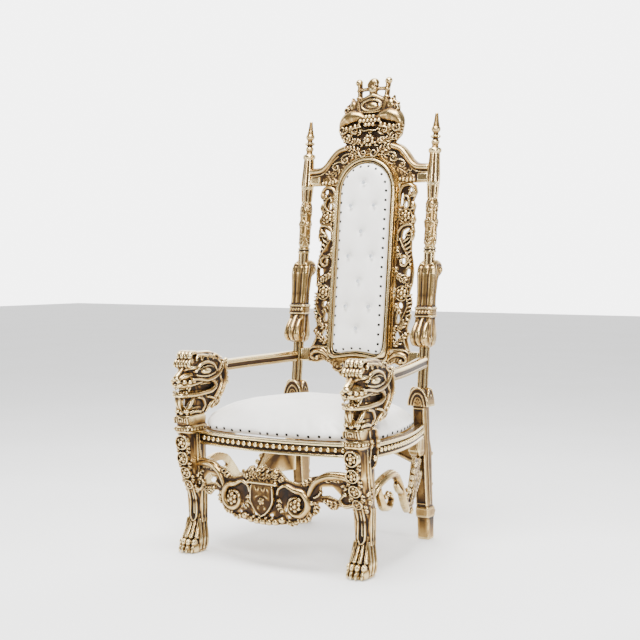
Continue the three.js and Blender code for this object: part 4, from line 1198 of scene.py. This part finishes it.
# %% Side aprons
def side_apron_forms():
    thick = dict(base=-12)
    forms = scroll([(-300, 250), (-276, 286), (-232, 312), (-176, 326), (-128, 320), (-96, 292),
                    (-66, 252), (-36, 206), (0, 172), (24, 166)], [9, 14, 16, 16, 15, 15, 16, 16, 14, 9],
                   15, rise=16, **thick)
    forms += band([(-262, 306), (-200, 334), (-150, 338), (-108, 316)], [3, 5, 5, 3], 12, -8)
    forms += scroll([(-250, 300), (-240, 262), (-214, 222), (-176, 214), (-156, 238), (-172, 256)],
                    [8, 13, 15, 13, 10, 6], 9, rise=15, **thick)
    forms += leaf([(-212, 250), (-190, 262), (-150, 252)], 12, 4, 13)
    forms += scroll([(-118, 286), (-96, 262), (-60, 246), (-24, 236), (-10, 250)], [6, 10, 11, 10, 6], 8,
                    rise=13, **thick)
    forms += leaf([(-18, 182), (30, 184), (60, 214)], 22, 5, 16)
    forms += leaf([(20, 172), (72, 222), (110, 334)], 30, 8, 17)
    forms += board([(0, 172), (40, 160), (66, 196), (112, 220), (180, 226), (236, 224), (236, 330),
                    (176, 330), (128, 344), (92, 322), (66, 276), (36, 236), (6, 214)], -12, 3)
    forms += leaf([(66, 214), (116, 262), (126, 334)], 26, 6, 15)
    forms += leaf([(84, 218), (160, 246), (244, 268)], 28, 7, 15)
    forms += leaf([(120, 300), (168, 308), (232, 318)], 18, 5, 13)
    forms += flower(158, 284, 15, 6, 5, 6)
    for k in range(5):
        forms += pebble(20 + 19 * k, 236 + 21 * k, 4, 9, 11, 8)
    return forms


side_apron = side_apron_forms()
carve("side_apron_right_carving", side_apron, on_side, "side_apron_right", voxel=2.4, most=30000)
carve("side_apron_left_carving", side_apron, lambda v: on_side(v) * (-1, 1, 1), "side_apron_left",
      voxel=2.4, most=30000, turned=True)

rear = board(both_halves([(0, RAIL_LOW - 0.4), (252, RAIL_LOW - 0.4), (252, 292), (190, 316),
                          (150, 330), (110, 322), (60, 346), (0, 352)]), -8, 8)
rear += both_sides(band([(250, 302), (190, 324), (150, 338), (110, 331), (60, 354), (0, 360)], [5], 12))
carve("rear_apron_board", rear, on_face(256.0), "rear_apron", voxel=3.0, most=8000)

# %% [markdown]
# ## Front legs
# Each front leg is a whole figure: a lion's head on a cuffed neck, a knee covered with rosettes, a
# fluted shin, and a paw. A box modelled head would need hundreds of hand moves, so the leg is lofted
# level by level and the features are laid on it as lumps and locks, as a modeller adds clay.

# %% Leg
LEG_LEVELS = [(0, -352, -292, 33), (6, -358, -286, 37), (34, -361, -284, 39), (78, -347, -284, 34.5),
              (104, -336, -281, 31), (130, -331, -279, 30), (190, -330, -283, 32), (226, -342, -285, 34),
              (262, -360, -287, 36), (345, -392, -286, 37), (440, -400, -285, 35), (444, -404, -283, 38),
              (449, -410, -281, 41), (456, -409, -281, 40), (460, -403, -284, 37.5),
              (465, -410, -282, 41), (470, -409, -283, 41), (474, -402, -288, 36),
              (478, -404, -290, 35.5), (506, -413, -292, 38), (510, -410, -293, 37),
              (514, -398, -295, 32), (524, -392, -296, 30), (540, -380, -290, 30)]


def leg_depth(column):
    z = [row[0] for row in LEG_LEVELS] + [575, 695, 733]
    y = [row[column] for row in LEG_LEVELS] + ([-370, -386, -372] if column == 1 else [34, 36, 29])
    return lambda h: np.interp(h, z, y)


leg_front, leg_half = leg_depth(1), leg_depth(3)


def fluted_skin():
    """The leg from floor to neck, with flutes on the shin that fade at the knee and the paw."""
    angle = np.linspace(0, 2 * math.pi, 96, endpoint=False)
    heights = np.arange(0, 541, 3.0)
    table = np.array(LEG_LEVELS, float)
    rings = []
    for h in heights:
        front, back, half = (np.interp(h, table[:, 0], table[:, k]) for k in (1, 2, 3))
        power = np.interp(h, [0, 60, 110, 230, 300, 470, 490, 520], [3, 3, 3.4, 3.4, 3.2, 3.2, 4.5, 3])
        c, s = np.cos(angle), np.sin(angle)
        r = (np.abs(c) ** power + np.abs(s) ** power) ** (-1 / power)
        amount = np.interp(h, [40, 90, 120, 215, 240, 262, 420, 440],
                           [0.02, 0.05, 0.06, 0.06, 0.04, 0.03, 0.03, 0])
        r = r * (1 - amount * (0.5 - 0.5 * np.cos(angle * 14)))
        x = LEG_X + half * r * c
        y = (front + back) / 2 + (back - front) / 2 * r * s
        rings.append(np.stack([x, y, np.full(len(x), h)], 1))
    return [lofted(rings)]


def paw():
    forms = []
    for k in range(4):
        u = 19 * (k - 1.5)
        out = -4 if k in (1, 2) else 5
        forms += ball(LEG_X + u, -362 + out, 21, 11, 27, 20.5)
        forms += ball(LEG_X + u, -372 + out, 40, 9.5, 15, 14)
        forms += rope([(LEG_X + u, -362 + out, 54), (LEG_X + u * 0.9, -346 + out * 0.5, 84),
                       (LEG_X + u * 0.75, -331, 118), (LEG_X + u * 0.7, -327, 140)], [8, 7, 5.5, 4])
        forms += rope([(LEG_X + u, -384 + out, 24), (LEG_X + u, -391 + out, 12),
                       (LEG_X + u, -389 + out, 3)], [5, 4.5, 2.5])
    for side in (-1, 1):
        for k, y in enumerate((-338, -318, -299)):
            forms += rope([(LEG_X + side * 32, y - 6, 14), (LEG_X + side * 35, y - 3, 46),
                           (LEG_X + side * 31, y, 82), (LEG_X + side * 27, y + 3, 124)], [9, 9, 7, 4])
    return forms


def shin_and_knee():
    forms = []
    loop = [(-13, 244), (-13, 190), (-13.5, 140), (-9, 121), (0, 114), (9, 121), (13.5, 140),
            (13, 190), (13, 244)]
    forms += face_front(band(loop, [4.2], 9, -4), LEG_X, leg_front)
    forms += face_front(band([(0, 240), (0, 190), (0, 140)], [3.4, 3.8, 2.5], 5, -4), LEG_X, leg_front)
    for side in (-1, 1):
        for y in (-322, -306, -292):
            forms += face_side(band([(y, 110), (y - 2, 170), (y - 6, 236)], [3.5, 5, 4.5], 5, -5),
                               lambda h: LEG_X + side * (leg_half(h) - 2), side)
    # leaf tips that hang over the shin
    for u in (-24, -9, 9, 24):
        forms += face_front(leaf([(u, 252), (u * 0.94, 236), (u * 0.9, 214)], 9, 3, 7, floor=-1), LEG_X,
                            leg_front)
    # four rosettes down the knee, the top one in a ring
    for z, r in ((412, 25), (353, 22), (299, 20), (252, 16)):
        around = face_front(band(arc(0, z, r, 0, 375, 26), [4.6 if r > 24 else 3.8], 13, -5), LEG_X,
                            leg_front)
        forms += around + face_front(flower(0, z, r * 0.8, 5, 5, 7), LEG_X, leg_front)
        forms += face_front(pebble(0, z, 12, r * 0.26, depth=6), LEG_X, leg_front)
    for z in (383, 326, 276):
        for u in (-20, 20):
            forms += face_front(leaf([(u, z + 14), (u * 1.15, z), (u * 0.7, z - 18)], 9, 3, 10, floor=-1),
                                LEG_X, leg_front)
    # the sides of the knee: reeds, a small leaf and the long scroll beside the rail
    for side in (-1, 1):
        edge = lambda h: LEG_X + side * (leg_half(h) - 1)
        for y in (-372, -358):
            forms += face_side(band([(y + 12, 440), (y + 16, 350), (y + 34, 262)], [4.5, 6, 4], 6, -5),
                               edge, side)
        forms += face_side(band([(-344, 380), (-336, 330), (-318, 262)], [6, 7, 4], 7, -5), edge, side)
        forms += face_side(leaf([(-352, 300), (-340, 276), (-326, 246)], 13, 4, 8), edge, side)
        forms += face_side(flower(-342, 262, 12, 6, 4, 5), edge, side)
        forms += face_side(flower(-330, 300, 10, 6, 3, 5), edge, side)
    outer = lambda h: LEG_X + leg_half(h) - 2
    forms += face_side(band([(-330, 512), (-312, 500), (-304, 460), (-306, 420), (-314, 386),
                             (-328, 372)], [5, 8, 8.5, 8, 7, 4], 16, -6), outer)
    forms += face_side(band([(-352, 506), (-346, 470), (-344, 430), (-350, 396)], [4, 6, 6, 4], 10, -6),
                       outer)
    forms += face_side(pebble(-322, 408, 9, 8, 11, 8), outer)
    return forms


def cuff():
    """Beads and a fillet under the smooth cuff, and its small plain motif."""
    forms = []
    for u in (-30, -18, -6, 6, 18, 30):
        forms += ball(LEG_X + u, -406, 460, 5.5, 5, 6)
    for y in (-392, -376, -360, -344, -328):
        forms += ball(LEG_X + 38.5, y, 460, 5, 6, 6) + ball(LEG_X - 38.5, y, 460, 5, 6, 6)
    at = lambda z: np.interp(z, [478, 506], [-404, -413])
    for u in (-30, 30):
        forms += face_front(band([(u, 480), (u * 0.96, 504)], [2.6], 4, -3), LEG_X, at)
    loop = band([(-9, 486), (-9, 500), (0, 503), (9, 500), (9, 486)], [2.2], 4, -3)
    forms += face_front(loop, LEG_X, at)
    forms += face_front(pebble(0, 490, 1, 4, 6, 3), LEG_X, at)
    for side in (-1, 1):
        forms += face_front(band([(side * 18, 484), (side * 19, 500)], [2.4], 4, -3), LEG_X, at)
    return forms


# %% Lion head
def on_both(make):
    """Forms for one cheek, given across the face's middle, and their mirror image."""
    one = make
    return one + [(v * (-1, 1, 1) + (2 * LEG_X, 0, 0), [tuple(reversed(f)) for f in faces])
                  for v, faces in one]


def cheek(path, widths, rise=10, base=-8, section=DOME):
    """A band on the side of the head: its path is (y, height)."""
    half = lambda h: LEG_X + np.interp(h, [520, 575, 612, 695, 733], [29, 34, 36, 35, 27])
    return face_side(band(path, widths, rise, base, section), half)


def lion_head():
    forms = [level_skin([(528, -372, -285, 27), (560, -368, -215, 31), (585, -366, -186, 33),
                         (598, -364, -176, 34)], soft_square(3.4, 64), 4.0, LEG_X)]
    forms += [level_skin([(590, -372, -176, 25), (626, -374, -172, 25)], soft_square(3.4, 64), 4, LEG_X)]
    forms += [level_skin([(590, -262, -176, 34), (626, -262, -172, 36)], soft_square(4, 64), 4, LEG_X)]
    forms += [level_skin([(618, -380, -172, 35), (640, -388, -169, 37), (690, -390, -168, 36),
                          (712, -382, -178, 33), (728, -366, -215, 27), (738, -350, -250, 20)],
                         soft_square(3.2, 64), 4.0, LEG_X)]
    # muzzle, nose and nostrils
    forms += rope([(LEG_X, -372, 652), (LEG_X, -400, 648), (LEG_X, -424, 642), (LEG_X, -436, 636)],
                  [31, 28, 22, 15], flat=0.62, around=24)
    forms += rope([(LEG_X, -388, 690), (LEG_X, -404, 674), (LEG_X, -424, 660), (LEG_X, -438, 650)],
                  [9, 11, 13, 12], flat=0.7, around=18)
    forms += ball(LEG_X, -438, 645, 16, 11, 9)
    whiskers = ball(LEG_X + 13, -437, 638, 9, 9, 8) + ball(LEG_X + 27, -420, 634, 8, 9, 8)
    whiskers += ball(LEG_X + 35, -398, 633, 7, 9, 8) + ball(LEG_X + 37, -376, 634, 6, 8, 7)
    whiskers += ball(LEG_X + 12, -428, 624, 13, 12, 8)
    # upper lip and teeth
    whiskers += rope([(LEG_X + 2, -434, 621), (LEG_X + 18, -428, 619), (LEG_X + 31, -404, 620),
                      (LEG_X + 36, -372, 624), (LEG_X + 37, -330, 630)], [6, 6.5, 6, 6, 5])
    for k in range(4):
        whiskers += ball(LEG_X + 5 + 8 * k, -424 + 5 * k, 612, 3.8, 4, 6)
    whiskers += rope([(LEG_X + 31, -394, 618), (LEG_X + 31, -398, 606), (LEG_X + 30, -400, 598)],
                     [5.5, 4.5, 2])
    # jaw, lower lip and lower teeth
    whiskers += rope([(LEG_X, -431, 586), (LEG_X + 17, -426, 585), (LEG_X + 29, -402, 584),
                      (LEG_X + 35, -360, 584), (LEG_X + 38, -318, 588), (LEG_X + 38, -276, 592),
                      (LEG_X + 38, -248, 606), (LEG_X + 37, -256, 628), (LEG_X + 37, -296, 636)],
                     [7.5, 8, 8, 8, 8.5, 9, 9, 8, 6])
    for k in range(4):
        whiskers += ball(LEG_X + 5 + 8.2 * k, -429 + 5.5 * k, 595, 4.4, 5, 6)
    forms += [level_skin([(572, -420, -350, 22), (580, -426, -340, 27), (592, -422, -340, 27),
                          (600, -404, -340, 20)], soft_square(3, 48), 3.0, LEG_X)]
    forms += rope([(LEG_X, -350, 603), (LEG_X, -392, 607), (LEG_X, -412, 603)], [17, 15, 8], flat=0.4)
    # eye under its heavy lids
    whiskers += face_side(pebble(-302, 668, 0, 30, 13, 9), lambda h: LEG_X + 35.5)
    whiskers += cheek([(-372, 666), (-340, 692), (-300, 700), (-262, 688), (-240, 662)],
                      [5, 8, 9, 8, 4], 13)
    whiskers += cheek([(-366, 656), (-330, 650), (-290, 650), (-256, 658), (-240, 672)],
                      [4, 5.5, 6, 5, 3], 10)
    whiskers += cheek([(-348, 676), (-320, 684), (-290, 686), (-262, 678)], [2, 3, 3, 2], 12)
    # brow from the bridge of the nose, and the folds of the cheek
    whiskers += rope([(LEG_X + 5, -398, 672), (LEG_X + 18, -394, 682), (LEG_X + 31, -380, 684),
                      (LEG_X + 37, -356, 684)], [7, 7.5, 8, 5])
    whiskers += cheek([(-388, 642), (-350, 640), (-300, 634), (-250, 644), (-214, 668), (-200, 694)],
                      [6, 8, 9, 10, 10, 6], 12)
    whiskers += cheek([(-262, 650), (-228, 664), (-218, 690), (-232, 708)], [4, 7, 7, 4], 9)
    # mane: curls over the brow and on the crown, knobs behind, and long locks down the neck
    for k in range(3):
        u = 5 + 13 * k
        whiskers += rope([(LEG_X + u, -380, 712), (LEG_X + u * 1.02, -400, 706),
                          (LEG_X + u * 1.05, -405, 692), (LEG_X + u * 1.02, -394, 684)],
                         [6, 6.6, 6.6, 4])
    for u, z in ((9, 728), (25, 723)):
        whiskers += rope([(LEG_X + u, -352, 738), (LEG_X + u, -380, 737), (LEG_X + u, -391, 724),
                          (LEG_X + u, -382, 714)], [7, 9, 9, 6])
    for k in range(4):
        u = 4 + 9.5 * k
        whiskers += rope([(LEG_X + u, -352, 735 - 0.3 * u), (LEG_X + u * 1.02, -310, 735 - 0.35 * u),
                          (LEG_X + u, -262, 730 - 0.4 * u), (LEG_X + u * 0.9, -214, 716 - 0.4 * u),
                          (LEG_X + u * 0.9, -180, 696)], [5, 6, 6, 6, 5])
    for k in range(4):
        y = -350 + 34 * k
        whiskers += cheek([(y - 12, 708), (y, 722), (y + 16, 722), (y + 22, 708)], [4, 6, 6, 4], 9)
    for k in range(6):
        whiskers += ball(LEG_X + 30, -174 + 1.2 * k, 700 - 17 * k, 9, 9, 8.5)
        whiskers += ball(LEG_X + 11, -168 + 1.5 * k, 694 - 17 * k, 10, 9, 9)
    whiskers += cheek([(-196, 704), (-184, 660), (-190, 612), (-218, 566), (-262, 526)],
                      [6, 10, 11, 10, 5], 9)
    whiskers += cheek([(-222, 650), (-216, 616), (-238, 578), (-280, 540), (-300, 516)],
                      [5, 9, 10, 9, 5], 11)
    whiskers += cheek([(-300, 572), (-270, 566), (-252, 552), (-262, 534)], [4, 8, 8, 4], 12)
    whiskers += cheek([(-352, 574), (-326, 566), (-312, 544), (-322, 520)], [5, 8, 8, 5], 10)
    whiskers += cheek([(-232, 572), (-222, 548), (-240, 530)], [4, 6, 4], 7)
    for y, z in ((-206, 584), (-222, 566), (-244, 552)):
        whiskers += ball(LEG_X + 38, y, z, 5, 8, 9)
    # beard, with two locks beside it, and curls on the collar
    forms += rope([(LEG_X, -412, 580), (LEG_X, -416, 566), (LEG_X, -410, 548), (LEG_X, -400, 532)],
                  [17, 16, 12, 6], flat=0.8, around=18)
    whiskers += rope([(LEG_X + 8, -426, 576), (LEG_X + 7, -428, 560), (LEG_X + 4, -418, 542),
                      (LEG_X + 2, -404, 530)], [4.5, 5, 4.5, 3])
    whiskers += rope([(LEG_X + 30, -372, 576), (LEG_X + 30, -384, 560), (LEG_X + 26, -394, 542),
                      (LEG_X + 18, -404, 530)], [6, 8, 8, 6])
    whiskers += rope([(LEG_X + 12, -398, 520), (LEG_X + 16, -410, 528), (LEG_X + 27, -402, 530),
                      (LEG_X + 29, -398, 519), (LEG_X + 20, -404, 516)], [6, 7, 7, 6, 5])
    whiskers += rope([(LEG_X + 28, -392, 520), (LEG_X + 36, -368, 526), (LEG_X + 37, -338, 520)],
                     [6, 7, 5])
    forms += ball(LEG_X, -404, 520, 9, 7, 8)
    return forms + on_both(whiskers)


front_leg = fluted_skin() + paw() + shin_and_knee() + cuff() + lion_head()
carve_pair("front_leg_carving", front_leg, "front_leg", voxel=2.1, rub=1, most=104000)

# %% [markdown]
# ## Upholstery
# The seat is a high crowned pad under tight leather, held at the rails by a row of nails. The back is
# a shallower pad in its frame, drawn in by crystal buttons. Cloth simulation gives both their
# tension: the leather is blown up a little from inside and held where nails and buttons hold it.

# %% Padding
BUTTONS = [(0, 1381), (-52, 1290), (52, 1290), (0, 1188), (-52, 1091), (52, 1091), (0, 993),
           (-52, 893), (52, 893), (0, 808)]
STEPS = 20                 # of the cloth simulation


def node_copy(node, name):
    """The node's own mesh as a new object, with its doubles merged."""
    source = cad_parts[node]
    thing = bpy.data.objects.new(name, source.data.copy())
    thing.data.materials.clear()
    bpy.context.collection.objects.link(thing)
    select_only(thing)
    bpy.ops.object.mode_set(mode="EDIT")
    bpy.ops.mesh.select_all(action="SELECT")
    bpy.ops.mesh.remove_doubles(threshold=0.00005)
    bpy.ops.mesh.normals_make_consistent(inside=False)
    bpy.ops.object.mode_set(mode="OBJECT")
    return thing


def blow_up(thing, held, pressure, cap):
    """Leather over padding: cloth with pressure, held where the group says, moved no more than cap."""
    start = corners(thing)
    group = thing.vertex_groups.new(name="held")
    for i in np.nonzero(held > 0)[0]:
        group.add([int(i)], float(held[i]), "REPLACE")
    select_only(thing)
    cloth = thing.modifiers.new("cloth", "CLOTH")
    leather = cloth.settings
    leather.use_pressure = True
    leather.uniform_pressure_force = pressure
    leather.effector_weights.gravity = 0.0
    leather.vertex_group_mass = "held"
    leather.tension_stiffness = 25
    leather.compression_stiffness = 25
    leather.quality = 6
    cloth.point_cache.frame_start, cloth.point_cache.frame_end = 1, STEPS
    for step in range(1, STEPS + 1):
        bpy.context.scene.frame_set(step)
    bpy.ops.object.modifier_apply(modifier=cloth.name)
    bpy.context.scene.frame_set(1)
    moved = corners(thing) - start
    length = np.linalg.norm(moved, axis=1)[:, None] + 1e-9
    put(thing, start + moved / length * np.minimum(length, cap * MM))
    print(thing.name, "rose by up to", round(float(length.max()) / MM, 1), "mm, kept to", cap)


def upholster(thing, node):
    """Smooths the blown-up pad, covers it with leather and stands it in for its solid."""
    select_only(thing)
    apply_modifier(thing, "SUBSURF", levels=1, render_levels=1)
    bpy.ops.object.shade_smooth()
    dress(thing, LEATHER)
    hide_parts(node)


# %% Seat pad
SEAT_HELD = RAIL_TOP + 26  # the leather is nailed down below this height
seat = node_copy("seat_cushion", "seat_pad")
apply_modifier(seat, "REMESH", mode="VOXEL", voxel_size=11.0 * MM)
rim = corners(seat)[:, 2] / MM < SEAT_HELD
apply_modifier(seat, "SMOOTH", factor=0.5, iterations=14)
blow_up(seat, rim * 1.0, 3.5, 9.0)
upholster(seat, "seat_cushion")

# %% Back pad
pad = node_copy("back_cushion", "back_pad")
apply_modifier(pad, "REMESH", mode="VOXEL", voxel_size=7.5 * MM)
apply_modifier(pad, "SMOOTH", factor=0.5, iterations=10)
v = corners(pad) / MM
off = v[:, 1] - FORE - BACK_Y - LEAN * v[:, 2]      # distance behind the leaning plane
face = off < -20
pull = np.zeros(len(v))
for x, z in BUTTONS:
    reach = np.hypot(v[:, 0] - x, v[:, 2] - z)
    pull = np.maximum(pull, 0.6 * np.exp(-(reach / 13.0) ** 2) + 0.4 * np.exp(-(reach / 30.0) ** 2))
v[:, 1] += np.where(face, 13.0 * pull, 0)
put(pad, v * MM)
blow_up(pad, np.where((off > -16) | (pull > 0.6), 1.0, 0.0), 4.0, 9.0)
upholster(pad, "back_cushion")

# %% Crystal buttons
def facets(name, centre, radius, depth, node):
    """A cut button that faces forward: a girdle, a row of facets and a table."""
    deselect()
    bpy.ops.mesh.primitive_cylinder_add(vertices=8, radius=radius * MM, depth=depth * MM)
    thing = bpy.context.object
    thing.name = name
    bpy.ops.object.mode_set(mode="EDIT")
    mesh = bmesh.from_edit_mesh(thing.data)
    for face in mesh.faces:
        face.select = face.normal.z > 0.9
    bmesh.update_edit_mesh(thing.data)
    bpy.ops.mesh.extrude_region_move(TRANSFORM_OT_translate={"value": (0, 0, depth * 0.35 * MM)})
    bpy.ops.transform.resize(value=(0.55, 0.55, 1.0))
    bpy.ops.object.mode_set(mode="OBJECT")
    v = corners(thing)
    put(thing, np.stack([v[:, 0], -v[:, 2], v[:, 1]], 1) + np.array(centre) * MM)
    dress(thing, CRYSTAL)
    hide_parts(node)


for i, (x, z) in enumerate(BUTTONS, 1):
    low, high = (np.array(c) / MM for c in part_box(f"tufting_button_{i}"))
    y = (low[1] + high[1]) / 2 + 2.5
    facets(f"crystal_button_{i}", (x, y, z), 8.0, 4.0, f"tufting_button_{i}")
print("buttons:", len(BUTTONS))

# %% [markdown]
# ## Nails
# An upholsterer closes the edge of the leather with a row of domed nails. Each head is pressed down
# on the nearest point of the pad and turned to face away from it, so the row follows the crown of
# the seat and the arch of the back. The heads of a pad are one piece, as they are all alike.

# %% Nails
def nails(name, pad, spots, radius):
    """Domed nail heads set on the pad: each spot is a point just outside the leather, in mm."""
    deselect()
    bpy.ops.mesh.primitive_uv_sphere_add(segments=10, ring_count=6, radius=1.0)
    dome = bpy.context.object
    shape = np.array([v.co[:] for v in dome.data.vertices])
    faces = [tuple(p.vertices) for p in dome.data.polygons]
    bpy.data.objects.remove(dome)
    heads = []
    for spot in spots:
        _, place, normal, _ = pad.closest_point_on_mesh(Vector(spot) * MM)
        turn = np.array(normal.to_track_quat("Z", "Y").to_matrix())
        heads.append(((shape * (radius, radius, radius * 0.55)) @ turn.T
                      + np.array(place) / MM, faces))
    thing = mesh_of(name, heads)
    put(thing, corners(thing) * MM)
    select_only(thing)
    bpy.ops.object.shade_smooth()
    dress(thing, NAIL)
    print(name, "nails:", len(heads))


SEAT_GAP, BACK_GAP = 41.0, 37.5    # between nails
NAILED = RAIL_TOP + 8              # height of the seat's row
front_spots = [(x, front_bow(x) - 5 + FORE, NAILED) for x in np.arange(-287, 288, SEAT_GAP)]
side_t = np.linspace(0.13, 0.93, 11)
side_spots = [(side * (x + 4), y + FORE, NAILED)
              for x, y in bezier(SIDE_LINE, side_t) for side in (-1, 1)]
nails("seat_nails", seat, front_spots + side_spots, 5.6)

line = arch_outline(-8.0)
around = np.vstack([line, line[:1]])
run = np.concatenate([[0], np.cumsum(np.linalg.norm(np.diff(around, axis=0), axis=1))])
count = int(round(run[-1] / BACK_GAP))
spots = np.stack([np.interp(np.arange(count) * run[-1] / count, run, around[:, k]) for k in (0, 1)], 1)
nails("back_nails", pad, [tuple(p) for p in on_back(np.c_[spots, np.full(count, 44.0)])], 5.4)

# %% [markdown]
# ## Studio
# The throne stands on a plain pale floor. A small key light from the right models the carving, a
# fill and a side light open its shadows, and a wide light overhead whitens the leather. The world
# is bright behind the throne and dim on the camera's side, so the gold has something to reflect.

# %% Floor
def floor_material():
    """A white floor with a trace of cloudiness."""
    m = blank("pale_floor")
    place = add(m, "ShaderNodeTexCoord")
    cloud = add(m, "ShaderNodeTexNoise", {"Scale": 1.2, "Detail": 2.0}, {"Vector": (place, "Object")})
    tone = ramp(m, cloud, 0, [(0.3, "#FBFBFA"), (0.7, "#FFFFFF")])
    shader = add(m, "ShaderNodeBsdfPrincipled", {"Roughness": 0.9}, {"Base Color": (tone, 0)})
    return finish_with(m, shader)


deselect()
bpy.ops.mesh.primitive_plane_add(size=40.0, location=(0, 0, 0))
floor = bpy.context.object
floor.name = "floor"
floor.data.materials.append(floor_material())


# %% Lights
def area_light(name, where, target, size, watts):
    """A round lamp of that size, in metres, turned to its target."""
    data = bpy.data.lights.new(name, "AREA")
    data.shape, data.size, data.energy = "DISK", size, watts
    lamp = bpy.data.objects.new(name, data)
    lamp.location = where
    lamp.rotation_euler = (Vector(target) - Vector(where)).to_track_quat("-Z", "Y").to_euler()
    bpy.context.collection.objects.link(lamp)


area_light("key", (2.6, -3.4, 3.0), (0, 0, 0.9), 1.0, 170)
area_light("fill", (-3.2, -2.6, 1.9), (0, 0, 0.8), 1.2, 45)
area_light("side", (3.6, 0.4, 1.6), (0, 0, 0.8), 0.8, 65)
area_light("top", (0.2, -0.8, 4.2), (0, 0, 0.6), 2.4, 380)

# %% Surroundings
BEHIND = (-0.527, 0.85, 0.0)       # from the camera past the throne
GLOW = {"From Min": 0.2, "From Max": 0.85, "To Min": 0.25, "To Max": 5.6}
world = bpy.data.worlds.new("studio")
world.use_nodes = True
sky = world.node_tree.nodes
link = world.node_tree.links.new
where = sky.new("ShaderNodeTexCoord")
toward = sky.new("ShaderNodeVectorMath")
toward.operation = "DOT_PRODUCT"
toward.inputs[1].default_value = BEHIND
level = sky.new("ShaderNodeMapRange")
for socket, value in GLOW.items():
    level.inputs[socket].default_value = value
link(where.outputs["Generated"], toward.inputs[0])
link(toward.outputs["Value"], level.inputs[0])
link(level.outputs[0], sky["Background"].inputs["Strength"])
sky["Background"].inputs["Color"].default_value = colour("#FFFFFF")
bpy.context.scene.world = world
